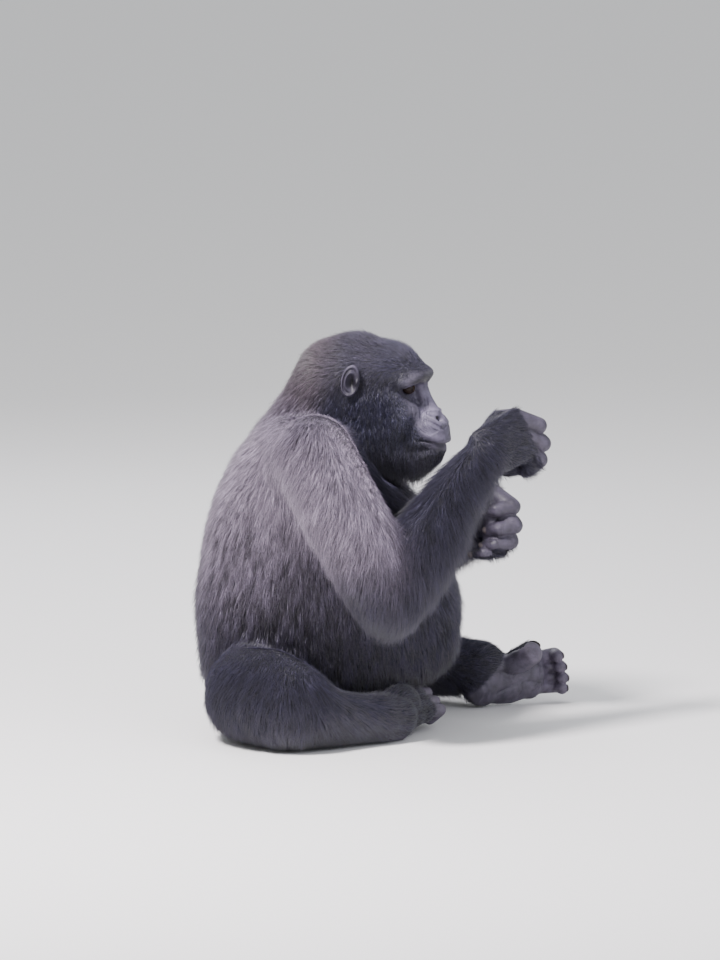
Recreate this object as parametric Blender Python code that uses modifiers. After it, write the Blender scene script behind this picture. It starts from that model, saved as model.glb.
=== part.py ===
# A seated mountain gorilla, life size, as a still display model.
# The body is modelled whole from rounded masses, fused, and then parted by thin cuts into the
# pieces that a person would name. Forward is +X, the animal's left is +Y and up is +Z.

import math

import bmesh
import bpy
import numpy as np
from mathutils import Matrix, Vector

# ---------------------------------------------------------------- driving dimensions, metres
GAP = 0.0004  # clearance left by each cut
FLOOR = 0.0
BODY_VOXEL = 0.0045
LIMB_VOXEL = 0.0035
HEAD_PLACE = Vector((0.050, -0.006, 0.660))  # middle of the head, between the ears
HEAD_TURN = math.radians(-16.0)  # the head looks to the animal's right
EYE_RADIUS = 0.0125
EYE_PLACE = Vector((0.1215, 0.034, 0.027))  # left eye, measured in the head
EAR_PLACE = Vector((0.018, 0.099, 0.044))  # left ear, measured in the head
EAR_SIZE = Vector((0.0195, 0.0115, 0.0345))
EAR_TILT = math.radians(10.0)
BALL_SPACING = 0.30  # share of its radius between the balls of a limb
TRUNK_ROUNDNESS = 2.25  # exponent of each level's outline, 2 is an ellipse

# Levels of the trunk: height, back, front, half width.
TRUNK_LEVELS = (
    (-0.020, -0.205, 0.010, 0.165),
    (0.040, -0.240, 0.060, 0.198),
    (0.085, -0.256, 0.178, 0.210),
    (0.120, -0.264, 0.240, 0.215),
    (0.170, -0.270, 0.263, 0.220),
    (0.270, -0.274, 0.264, 0.218),
    (0.390, -0.254, 0.222, 0.212),
    (0.440, -0.240, 0.190, 0.214),
    (0.480, -0.226, 0.146, 0.212),
    (0.520, -0.206, 0.114, 0.204),
    (0.560, -0.182, 0.090, 0.188),
    (0.610, -0.136, 0.062, 0.135),
    (0.640, -0.100, 0.030, 0.085),
)

# Limbs: x, y, z and radius at each station, with the coat.
NECK = ((-0.042, 0.0, 0.572, 0.106), (-0.012, 0.0, 0.638, 0.093), (0.012, 0.0, 0.700, 0.085))
SHOULDER_BAR = (
    (-0.050, -0.165, 0.560, 0.085),
    (-0.078, 0.0, 0.552, 0.090),
    (-0.050, 0.165, 0.560, 0.085),
)
RIGHT_ARM = (
    (-0.030, -0.195, 0.575, 0.088),
    (0.022, -0.272, 0.482, 0.091),
    (0.074, -0.324, 0.382, 0.086),
    (0.114, -0.334, 0.312, 0.083),
)
RIGHT_FOREARM = (
    (0.114, -0.334, 0.312, 0.083),
    (0.156, -0.303, 0.362, 0.083),
    (0.198, -0.268, 0.418, 0.075),
    (0.232, -0.236, 0.474, 0.062),
    (0.268, -0.202, 0.524, 0.054),
    (0.314, -0.160, 0.568, 0.051),
)
LEFT_ARM = (
    (-0.015, 0.200, 0.580, 0.090),
    (0.030, 0.268, 0.468, 0.090),
    (0.075, 0.320, 0.362, 0.086),
    (0.110, 0.335, 0.300, 0.082),
)
LEFT_FOREARM = (
    (0.110, 0.335, 0.300, 0.082),
    (0.182, 0.274, 0.335, 0.077),
    (0.250, 0.196, 0.368, 0.063),
    (0.288, 0.114, 0.398, 0.052),
)
RIGHT_THIGH = (
    (-0.130, -0.110, 0.100, 0.105),
    (-0.160, -0.215, 0.100, 0.100),
    (-0.125, -0.285, 0.102, 0.105),
    (-0.080, -0.334, 0.093, 0.097),
)
RIGHT_SHANK = (
    (-0.070, -0.340, 0.086, 0.089),
    (-0.006, -0.310, 0.062, 0.067),
    (0.064, -0.262, 0.050, 0.056),
    (0.126, -0.216, 0.046, 0.049),
)
LEFT_THIGH = (
    (-0.130, 0.110, 0.100, 0.105),
    (-0.050, 0.200, 0.098, 0.102),
    (0.030, 0.275, 0.096, 0.098),
    (0.080, 0.305, 0.089, 0.093),
)
LEFT_SHANK = (
    (0.080, 0.305, 0.086, 0.090),
    (0.160, 0.285, 0.074, 0.072),
    (0.240, 0.250, 0.078, 0.060),
    (0.302, 0.218, 0.082, 0.053),
)

# Fingers from index to little: knuckle forward, knuckle across, then the step to the middle
# joint forward, across and backhand.
FINGERS = (
    (0.082, 0.036, 0.036, -0.031, 0.012),
    (0.087, 0.012, 0.025, -0.045, 0.012),
    (0.084, -0.012, 0.010, -0.050, 0.008),
    (0.078, -0.034, -0.008, -0.040, -0.004),
)
FINGER_CURL = (-0.012, 0.000, -0.032)  # middle joint to end joint
FINGER_END = (-0.027, 0.004, -0.003)  # end joint to tip
FINGER_RADII = (0.0215, 0.0172, 0.0140, 0.0122)
HAND_ROOT = (-0.010, 0.0, 0.0)
HAND_ROOT_SPREAD = 0.6  # how far the roots keep the knuckles' distance across
HAND_ROOT_RADIUS = 0.036
HAND_KNUCKLE_RADIUS = 0.0235
DIGIT_STEPS = 3
THUMB = ((0.018, 0.030, -0.014, 0.021), (0.055, 0.042, -0.034, 0.017), (0.094, 0.030, -0.046, 0.0125))

# Toes from second to fifth: root forward and up the foot, then tip forward and up the foot.
TOES = (
    (0.172, 0.088, 0.204, 0.094),
    (0.176, 0.068, 0.211, 0.071),
    (0.176, 0.048, 0.215, 0.048),
    (0.168, 0.030, 0.213, 0.028),
)
TOE_RADIUS = 0.0135
TOE_SOLE = -0.040  # how far behind the sole a toe's root, middle joint and tip lie
TOE_JOINT = -0.034
TOE_END = -0.008
TOE_JOINT_AHEAD = 0.002
TOE_END_AHEAD = -0.004
TOE_ROOT_SHARE = 1.15
TOE_JOINT_SHARE = 1.05
# The big toe: forward, up the foot and out of the sole, then the radius.
BIG_TOE = (
    (0.088, 0.076, -0.026, 0.029),
    (0.108, 0.095, -0.002, 0.0275),
    (0.121, 0.110, 0.022, 0.0255),
)
# Heel, middle, ball and outer edge of the foot: place, then the three radii.
FOOT_PADS = (
    ((0.034, 0.048, -0.032), (0.043, 0.046, 0.041)),
    ((0.090, 0.051, -0.034), (0.086, 0.049, 0.033)),
    ((0.145, 0.060, -0.034), (0.044, 0.054, 0.028)),
    ((0.070, 0.056, -0.052), (0.054, 0.038, 0.034)),
)

# Where the thin cuts pass.
SHOULDER_CUT_TOP = (-0.060, 0.122, 0.680)  # left side, mirrored for the right
SHOULDER_CUT_BOTTOM = (-0.040, 0.2155, 0.365)
SHOULDER_CUT_WIDTH = 0.30
HEAD_CUT_SIDES = (-0.119, 0.113)  # right and left ends of the cut across the neck
HEAD_CUT_CHEEK = 0.070  # height of the plates that free the cheeks from the shoulders
NAPE = (-0.110, 0.0, 0.7516)
THROAT = (0.125, 0.0, 0.507)
NECK_BALL = (0.020, 0.0, 0.700)
NECK_BALL_RADIUS = 0.125
WAIST_HEIGHT = 0.335
RIGHT_KNEE_CUT = ((-0.025, -0.315, 0.070), (1.0, 0.25, 0.0))
LEFT_KNEE_CUT = ((0.115, 0.300, 0.090), (1.0, -0.15, 0.0))
ANKLE_SETBACK = 0.045

# Triangles left for each region of the body.
HEAD_TRIANGLES = 1450
HAND_TRIANGLES = 390
BODY_TRIANGLES = 1350
FOOT_TRIANGLES = 380
LEG_TRIANGLES = 300

COAT_BLACK = (0.030, 0.028, 0.034)
COAT_BACK = (0.085, 0.078, 0.090)
SKIN_GREY = (0.110, 0.098, 0.115)
EYE_BROWN = (0.022, 0.012, 0.008)


# ---------------------------------------------------------------- scene helpers
def clear_scene():
    for old in list(bpy.data.objects):
        bpy.data.objects.remove(old, do_unlink=True)


def make_collection(name, shown=True):
    made = bpy.data.collections.new(name)
    bpy.context.scene.collection.children.link(made)
    made.hide_render = not shown
    return made


def make_material(name, colour, roughness):
    material = bpy.data.materials.new(name)
    material.use_nodes = True
    shader = material.node_tree.nodes["Principled BSDF"]
    shader.inputs["Base Color"].default_value = (*colour, 1.0)
    shader.inputs["Roughness"].default_value = roughness
    shader.inputs["Metallic"].default_value = 0.0
    material.diffuse_color = (*colour, 1.0)
    return material


def add_object(name, mesh, collection):
    obj = bpy.data.objects.new(name, mesh)
    collection.objects.link(obj)
    return obj


def evaluate(obj):
    """Replaces the object's mesh by the one its modifiers make."""
    graph = bpy.context.evaluated_depsgraph_get()
    mesh = bpy.data.meshes.new_from_object(obj.evaluated_get(graph), depsgraph=graph)
    obj.modifiers.clear()
    old = obj.data
    obj.data = mesh
    bpy.data.meshes.remove(old)
    return obj


# ---------------------------------------------------------------- rounded masses
def ball_template(segments, rings):
    """Corners and faces of a ball of radius 1, which every mass starts from."""
    shape = bmesh.new()
    bmesh.ops.create_uvsphere(shape, u_segments=segments, v_segments=rings, radius=1.0)
    corners = np.array([v.co for v in shape.verts])
    faces = [[v.index for v in f.verts] for f in shape.faces]
    shape.free()
    return corners, faces


def add_to(clay, corners, faces):
    """Adds a closed shape to the clay, a list of corners and a list of faces."""
    first = len(clay[0])
    clay[0].extend(corners)
    clay[1].extend([[first + index for index in face] for face in faces])


def ball(clay, centre, radii, turn=None):
    corners, faces = BALL
    turn = np.array((turn or Matrix.Identity(4)).to_3x3())
    places = (corners * np.array(radii)) @ turn.T + np.array(centre)
    add_to(clay, places.tolist(), faces)


def curve_between(stations, steps):
    """Stations along a smooth line through the given ones, each a vector of place and radius."""
    ends = [Vector(s) for s in stations]
    ends = [ends[0] * 2 - ends[1], *ends, ends[-1] * 2 - ends[-2]]
    found = []
    for before, start, end, after in zip(ends, ends[1:], ends[2:], ends[3:]):
        for step in range(steps):
            t = step / steps
            bend = (end - before) * t
            bend += (before * 2 - start * 5 + end * 4 - after) * t * t
            bend += (start * 3 - before - end * 3 + after) * t * t * t
            found.append(start + bend * 0.5)
    found.append(ends[-2])
    return found


def limb(clay, stations, steps=4):
    """A round limb through stations of x, y, z and radius: close balls along a smooth line."""
    line = curve_between(stations, steps)
    for start, end in zip(line, line[1:]):
        reach = (end.to_3d() - start.to_3d()).length
        count = max(1, math.ceil(reach / (min(start[3], end[3]) * BALL_SPACING)))
        for index in range(count):
            station = start.lerp(end, index / count)
            ball(clay, station.to_3d(), [station[3]] * 3)
    ball(clay, line[-1].to_3d(), [line[-1][3]] * 3)


def ring(level, count=56):
    """One level's outline, an ellipse made squarer by TRUNK_ROUNDNESS."""
    height, back, front, half_width = level
    points = []
    for index in range(count):
        angle = 2 * math.pi * index / count
        x = math.copysign(abs(math.cos(angle)) ** (2 / TRUNK_ROUNDNESS), math.cos(angle))
        y = math.copysign(abs(math.sin(angle)) ** (2 / TRUNK_ROUNDNESS), math.sin(angle))
        points.append(Vector(((back + front) / 2 + x * (front - back) / 2, y * half_width, height)))
    return points


def stack(clay, levels):
    """A closed body through level outlines, joined by a smooth line from level to level."""
    rings = [ring(level) for level in curve_between(levels, 3)]
    count = len(rings[0])
    faces = []
    for start in range(0, (len(rings) - 1) * count, count):
        for index in range(count):
            after = (index + 1) % count
            lower = [start + index, start + after]
            faces.append([*lower, start + count + after, start + count + index])
    faces.append(list(reversed(range(count))))
    faces.append(list(range((len(rings) - 1) * count, len(rings) * count)))
    add_to(clay, [tuple(point) for points in rings for point in points], faces)


def fuse(name, clay, voxel, collection):
    """Melts overlapping masses into one skin."""
    mesh = bpy.data.meshes.new(name)
    mesh.from_pydata(clay[0], [], clay[1])
    obj = add_object(name, mesh, collection)
    remesh = obj.modifiers.new("Fuse", "REMESH")
    remesh.mode = "VOXEL"
    remesh.voxel_size = voxel
    return evaluate(obj)


def mark(obj, name, weigh):
    """A vertex group weighted by a function of place."""
    group = obj.vertex_groups.new(name=name)
    for vertex in obj.data.vertices:
        group.add([vertex.index], weigh(vertex.co), "REPLACE")
    return group.name


def relax(obj, rounds, weigh=None):
    smooth = obj.modifiers.new("Relax", "SMOOTH")
    smooth.factor = 0.5
    smooth.iterations = rounds
    if weigh:
        smooth.vertex_group = mark(obj, "Relax", weigh)
    return evaluate(obj)


def thin_out(obj, inside, triangles):
    """Leaves about so many triangles where inside is true, and all of them elsewhere."""
    group = mark(obj, "Thin", lambda place: 1.0 if inside(place) else 0.0)
    obj.data.calc_loop_triangles()
    total = len(obj.data.loop_triangles)
    here = 0
    for face in obj.data.loop_triangles:
        centre = sum((obj.data.vertices[i].co for i in face.vertices), Vector()) / 3
        here += inside(centre)
    decimate = obj.modifiers.new("Thin", "DECIMATE")
    decimate.ratio = (total - here + triangles) / total
    decimate.vertex_group = group
    decimate.vertex_group_factor = 10.0
    decimate.use_collapse_triangulate = True
    evaluate(obj)
    obj.vertex_groups.clear()
    return obj


# ---------------------------------------------------------------- cutters
def slab(name, centre, normal, width, height, up=(0, 0, 1)):
    """A thin plate whose faces look along the normal and whose height runs up."""
    normal = Vector(normal).normalized()
    side = Vector(up).cross(normal).normalized()
    top = normal.cross(side)
    turn = Matrix((side, top, normal)).transposed().to_4x4()
    box = bmesh.new()
    size = Matrix.Diagonal((width, height, GAP, 1.0))
    bmesh.ops.create_cube(box, size=1.0, matrix=Matrix.Translation(centre) @ turn @ size)
    return cutter(name, box)


def cutter(name, shape):
    bmesh.ops.recalc_face_normals(shape, faces=shape.faces)
    mesh = bpy.data.meshes.new(name)
    shape.to_mesh(mesh)
    shape.free()
    obj = add_object(name, mesh, cutters)
    obj.hide_render = True
    obj.display_type = "WIRE"
    return obj


def cut(obj, tool):
    boolean = obj.modifiers.new("Cut", "BOOLEAN")
    boolean.operation = "DIFFERENCE"
    boolean.solver = "EXACT"
    boolean.object = tool
    return evaluate(obj)


def swollen(obj, amount):
    """A copy of a body grown by a small amount, for cutting a neighbour clear of it."""
    shape = bmesh.new()
    shape.from_mesh(obj.data)
    shape.normal_update()
    moves = []
    for vertex in shape.verts:
        moves.append(vertex.normal * amount * vertex.calc_shell_factor())
    for vertex, move in zip(shape.verts, moves):
        vertex.co += move
    return cutter(obj.name + "_grown", shape)


def trim_at_floor(obj):
    under = bmesh.new()
    size = Matrix.Diagonal((2.0, 2.0, 0.4, 1.0))
    matrix = Matrix.Translation((0, 0, FLOOR - 0.2)) @ size
    bmesh.ops.create_cube(under, size=1.0, matrix=matrix)
    return cut(obj, cutter("under_floor", under))


def split(obj, seeds, collection):
    """Turns the loose pieces of a body into objects, each named by the nearest seed point."""
    shape = bmesh.new()
    shape.from_mesh(obj.data)
    bmesh.ops.triangulate(shape, faces=shape.faces)
    waiting = set(shape.verts)
    pieces = []
    while waiting:
        piece = {waiting.pop()}
        front = list(piece)
        while front:
            vertex = front.pop()
            for edge in vertex.link_edges:
                other = edge.other_vert(vertex)
                if other not in piece:
                    piece.add(other)
                    front.append(other)
        waiting -= piece
        pieces.append(piece)
    made = {}
    for piece in pieces:
        low = Vector([min(v.co[axis] for v in piece) for axis in range(3)])
        high = Vector([max(v.co[axis] for v in piece) for axis in range(3)])
        middle = (low + high) / 2
        if (high - low).length < 0.004:
            continue
        name = min(seeds, key=lambda seed: (Vector(seeds[seed]) - middle).length)
        part = bmesh.new()
        place = {}
        for vertex in sorted(piece, key=lambda v: v.index):
            place[vertex] = part.verts.new(vertex.co)
        for face in shape.faces:
            if face.verts[0] in piece:
                part.faces.new([place[v] for v in face.verts])
        mesh = bpy.data.meshes.new(name)
        part.to_mesh(mesh)
        part.free()
        if name in made:
            raise ValueError("two pieces are nearest to the seed of " + name)
        made[name] = add_object(name, mesh, collection)
    shape.free()
    bpy.data.objects.remove(obj, do_unlink=True)
    if len(made) != len(seeds):
        raise ValueError("a cut did not part: " + ", ".join(sorted(set(seeds) - set(made))))
    return made


# ---------------------------------------------------------------- head
head_frame = Matrix.Translation(HEAD_PLACE) @ Matrix.Rotation(HEAD_TURN, 4, "Z")


def head_ball(clay, centre, radii):
    ball(clay, head_frame @ Vector(centre), radii, Matrix.Rotation(HEAD_TURN, 4, "Z"))


def head_limb(clay, stations):
    limb(clay, [(*(head_frame @ Vector(s[:3])), s[3]) for s in stations], steps=3)


def add_head(clay):
    head_ball(clay, (0.004, 0, 0.046), (0.100, 0.086, 0.091))  # skull and crown
    head_ball(clay, (0.062, 0, 0.062), (0.080, 0.073, 0.060))  # forehead
    head_ball(clay, (0.040, 0, -0.020), (0.092, 0.090, 0.088))  # cheek fur
    head_ball(clay, (0.085, 0, -0.080), (0.076, 0.062, 0.050))  # jaw
    head_ball(clay, (0.120, 0, -0.116), (0.057, 0.046, 0.038))  # beard
    head_ball(clay, (0.136, 0, -0.058), (0.062, 0.047, 0.040))  # muzzle
    head_ball(clay, (0.158, 0, -0.076), (0.0445, 0.041, 0.0190))  # upper lip
    head_ball(clay, (0.148, 0, -0.107), (0.044, 0.036, 0.0175))  # lower lip
    head_ball(clay, (0.138, 0, -0.122), (0.047, 0.034, 0.020))  # chin
    brow = ((0.108, 0.062, 0.038, 0.013), (0.136, 0.036, 0.052, 0.0165), (0.1425, 0, 0.048, 0.0150))
    head_limb(clay, brow)
    head_limb(clay, [(x, -y, z, r) for x, y, z, r in brow])
    bridge = ((0.136, 0, 0.042, 0.0125), (0.1420, 0, 0.016, 0.0135), (0.152, 0, -0.010, 0.0155))
    head_limb(clay, (*bridge, (0.166, 0, -0.036, 0.0185)))
    for side in (1, -1):
        head_ball(clay, (0.169, side * 0.018, -0.042), (0.018, 0.0165, 0.015))  # nostril wing
        head_ball(clay, (0.078, side * 0.044, -0.036), (0.056, 0.040, 0.062))  # side of the face
        cheekbone = ((0.092, 0.062, 0.004, 0.018), (0.112, 0.050, -0.012, 0.0185))
        cheekbone = (*cheekbone, (0.127, 0.030, -0.026, 0.020))
        head_limb(clay, [(x, side * y, z, r) for x, y, z, r in cheekbone])
        jowl = ((0.030, 0.054, -0.050, 0.040), (0.072, 0.044, -0.094, 0.037))
        jowl = (*jowl, (0.116, 0.024, -0.126, 0.029))
        head_limb(clay, [(x, side * y, z, r) for x, y, z, r in jowl])


def mirrored(place, side):
    return head_frame @ Vector((place[0], side * place[1], place[2]))


def make_eye(name, side, collection):
    shape = bmesh.new()
    matrix = Matrix.Translation(mirrored(EYE_PLACE, side))
    bmesh.ops.create_uvsphere(shape, u_segments=14, v_segments=8, radius=EYE_RADIUS, matrix=matrix)
    mesh = bpy.data.meshes.new(name)
    shape.to_mesh(mesh)
    shape.free()
    return add_object(name, mesh, collection)


def socket_cutter(name, side):
    shape = bmesh.new()
    matrix = Matrix.Translation(mirrored(EYE_PLACE, side))
    radius = EYE_RADIUS + 0.0006
    bmesh.ops.create_uvsphere(shape, u_segments=14, v_segments=8, radius=radius, matrix=matrix)
    return cutter(name, shape)


def make_ear(name, side, head, collection):
    """A rounded shell with a hollow on its outer side, standing against the head."""
    turn = Matrix.Rotation(HEAD_TURN + side * math.radians(-14.0), 4, "Z")
    turn = turn @ Matrix.Rotation(EAR_TILT, 4, "Y")
    shell = bmesh.new()
    matrix = Matrix.Translation(mirrored(EAR_PLACE, side)) @ turn @ Matrix.Diagonal((*EAR_SIZE, 1.0))
    bmesh.ops.create_uvsphere(shell, u_segments=14, v_segments=8, radius=1.0, matrix=matrix)
    mesh = bpy.data.meshes.new(name)
    shell.to_mesh(mesh)
    shell.free()
    ear = add_object(name, mesh, collection)
    hollow = bmesh.new()
    outward = turn @ Vector((0.003, side * 0.0105, 0.0))
    matrix = Matrix.Translation(mirrored(EAR_PLACE, side) + outward) @ turn
    size = Matrix.Diagonal((EAR_SIZE[0] * 0.68, 0.0085, EAR_SIZE[2] * 0.72, 1.0))
    bmesh.ops.create_uvsphere(hollow, u_segments=12, v_segments=6, radius=1.0, matrix=matrix @ size)
    cut(ear, cutter(name + "_hollow", hollow))
    cut(ear, head)
    return ear


# ---------------------------------------------------------------- hands and feet
def frame_of(place, forward, across, side):
    """Axes of a hand or foot: forward, across, and the face that looks out of its back or sole."""
    forward = Vector(forward).normalized()
    across = Vector(across)
    across = (across - across.project(forward)).normalized()
    out = forward.cross(across) * side
    turn = Matrix((forward, across, out)).transposed().to_4x4()
    return Matrix.Translation(place) @ turn


def add_hand(clay, frame):
    """A loosely closed hand: knuckles forward and fingers curled to the palm."""
    wrist = frame @ Vector(HAND_ROOT)
    for knuckle_f, knuckle_a, step_f, step_a, step_b in FINGERS:
        knuckle = Vector((knuckle_f, knuckle_a, 0.0))
        middle = knuckle + Vector((step_f, step_a, step_b))
        last = middle + Vector(FINGER_CURL)
        tip = last + Vector(FINGER_END)
        places = [frame @ p for p in (knuckle, middle, last, tip)]
        limb(clay, [(*p, r) for p, r in zip(places, FINGER_RADII)], steps=DIGIT_STEPS)
        root = wrist + frame.to_3x3() @ Vector((0.0, knuckle_a * HAND_ROOT_SPREAD, 0.0))
        palm = ((*root, HAND_ROOT_RADIUS), (*places[0], HAND_KNUCKLE_RADIUS))
        limb(clay, palm, steps=DIGIT_STEPS)
    limb(clay, [(*(frame @ Vector(s[:3])), s[3]) for s in THUMB], steps=DIGIT_STEPS)


def add_foot(clay, frame):
    """A foot whose axes run to the toes, up to the big toe's side, and out of the sole."""
    turn = frame.to_3x3().to_4x4()
    for place, radii in FOOT_PADS:
        ball(clay, frame @ Vector(place), radii, turn)
    limb(clay, [(*(frame @ Vector(s[:3])), s[3]) for s in BIG_TOE], steps=DIGIT_STEPS)
    for root_f, root_a, tip_f, tip_a in TOES:
        root = frame @ Vector((root_f, root_a, TOE_SOLE))
        knee = frame @ Vector((tip_f + TOE_JOINT_AHEAD, tip_a, TOE_JOINT))
        tip = frame @ Vector((tip_f + TOE_END_AHEAD, tip_a, TOE_END))
        stations = (
            (*root, TOE_RADIUS * TOE_ROOT_SHARE),
            (*knee, TOE_RADIUS * TOE_JOINT_SHARE),
            (*tip, TOE_RADIUS),
        )
        limb(clay, stations, steps=DIGIT_STEPS)


right_hand_frame = frame_of((0.312, -0.160, 0.568), (0.85, 0.31, 0.41), (-0.485, -0.266, 0.833), 1)
left_hand_frame = frame_of((0.285, 0.116, 0.397), (0.60, -0.72, 0.25), (-0.20, 0.15, 0.95), -1)
left_foot_frame = frame_of((0.288, 0.158, -0.002), (0.888, 0.459, 0.02), (0.0, 0.0, 1.0), 1)
right_foot_frame = frame_of((0.106, -0.250, -0.002), (0.50, 0.86, -0.02), (-0.62, 0.32, 0.72), -1)


# ---------------------------------------------------------------- bodies
def near(place, radius):
    centre = Vector(place)
    return lambda point: (point - centre).length < radius


HEAD_REGION = head_frame @ Vector((0.060, 0, -0.010))
RIGHT_HAND_REGION = right_hand_frame @ Vector((0.075, 0, -0.010))
LEFT_HAND_REGION = left_hand_frame @ Vector((0.075, 0, -0.010))


def make_upper_body(collection):
    """Trunk, neck, head and both arms in one skin."""
    clay = ([], [])
    stack(clay, TRUNK_LEVELS)
    limb(clay, NECK)
    limb(clay, SHOULDER_BAR)
    for stations in (RIGHT_ARM, RIGHT_FOREARM, LEFT_ARM, LEFT_FOREARM):
        limb(clay, stations)
    add_hand(clay, right_hand_frame)
    add_hand(clay, left_hand_frame)
    add_head(clay)
    body = fuse("upper_body", clay, BODY_VOXEL, collection)
    regions = (
        (near(HEAD_REGION, 0.150), 0.05),
        (near(RIGHT_HAND_REGION, 0.090), 0.03),
        (near(LEFT_HAND_REGION, 0.090), 0.03),
    )

    def softness(point):
        return min([weight for inside, weight in regions if inside(point)], default=1.0)

    relax(body, 14, softness)
    relax(body, 2)
    head = near(HEAD_REGION, 0.152)
    right_hand = near(RIGHT_HAND_REGION, 0.088)
    left_hand = near(LEFT_HAND_REGION, 0.088)
    thin_out(body, lambda p: not (head(p) or right_hand(p) or left_hand(p)), BODY_TRIANGLES)
    thin_out(body, head, HEAD_TRIANGLES)
    thin_out(body, right_hand, HAND_TRIANGLES)
    thin_out(body, left_hand, HAND_TRIANGLES)
    return trim_at_floor(body)


def make_leg(name, thigh, shank, foot_frame, collection):
    clay = ([], [])
    limb(clay, thigh)
    limb(clay, shank)
    add_foot(clay, foot_frame)
    leg = fuse(name, clay, LIMB_VOXEL, collection)
    foot = near(foot_frame @ Vector((0.120, 0.060, -0.020)), 0.120)
    relax(leg, 10, lambda p: 0.05 if foot(p) else 1.0)
    relax(leg, 2)
    thin_out(leg, lambda p: not foot(p), LEG_TRIANGLES)
    thin_out(leg, foot, FOOT_TRIANGLES)
    return trim_at_floor(leg)


def part_by(obj, tools, seeds, collection):
    """Cuts a body with thin plates and names what falls apart."""
    for tool in tools:
        cut(obj, tool)
    return split(obj, seeds, collection)


def part_leg(side, thigh, shank, foot_frame, knee_cut, grown_body):
    leg = make_leg(side + "_leg", thigh, shank, foot_frame, model)
    cut(leg, grown_body)
    along = (Vector(shank[-1][:3]) - Vector(shank[-2][:3])).normalized()
    ankle = Vector(shank[-1][:3]) - along * ANKLE_SETBACK
    tools = (
        slab(side + "_knee_cut", knee_cut[0], knee_cut[1], 0.40, 0.40),
        slab(side + "_ankle_cut", ankle, along, 0.18, 0.30),
    )
    seeds = {
        "thigh_" + side: Vector(thigh[-2][:3]),
        "shank_" + side: Vector(shank[-2][:3]),
        "foot_" + side: foot_frame @ Vector((0.110, 0.055, -0.030)),
    }
    return part_by(leg, tools, seeds, model)


def part_arm(obj, side, arm, forearm, frame):
    elbow = Vector(forearm[0][:3])
    down = (Vector(forearm[1][:3]) - elbow).normalized()
    back = (Vector(arm[-2][:3]) - elbow).normalized()
    wrist_way = Vector(forearm[-1][:3]) - Vector(forearm[-2][:3])
    tools = (
        slab(side + "_elbow_cut", elbow, down - back, 0.40, 0.80, up=down + back),
        slab(side + "_wrist_cut", frame @ Vector((0, 0, 0)), wrist_way, 0.16, 0.16),
    )
    seeds = {
        "upper_arm_" + side: Vector(arm[1][:3]),
        "forearm_" + side: Vector(forearm[2][:3]),
        "hand_" + side: frame @ Vector((0.075, 0, -0.010)),
    }
    return part_by(obj, tools, seeds, model)


def neck_ball(name, radius):
    shape = bmesh.new()
    matrix = Matrix.Translation(NECK_BALL)
    bmesh.ops.create_icosphere(shape, subdivisions=2, radius=radius, matrix=matrix)
    return cutter(name, shape)


def part_neck(torso):
    """Takes the neck out of the torso as the lens between the head and a ball round the nape."""
    neck = add_object("neck", torso.data.copy(), model)
    keep = neck.modifiers.new("Keep", "BOOLEAN")
    keep.operation = "INTERSECT"
    keep.solver = "EXACT"
    keep.object = neck_ball("neck_ball", NECK_BALL_RADIUS)
    evaluate(neck)
    cut(torso, neck_ball("neck_ball_grown", NECK_BALL_RADIUS + GAP))
    return neck


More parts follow.
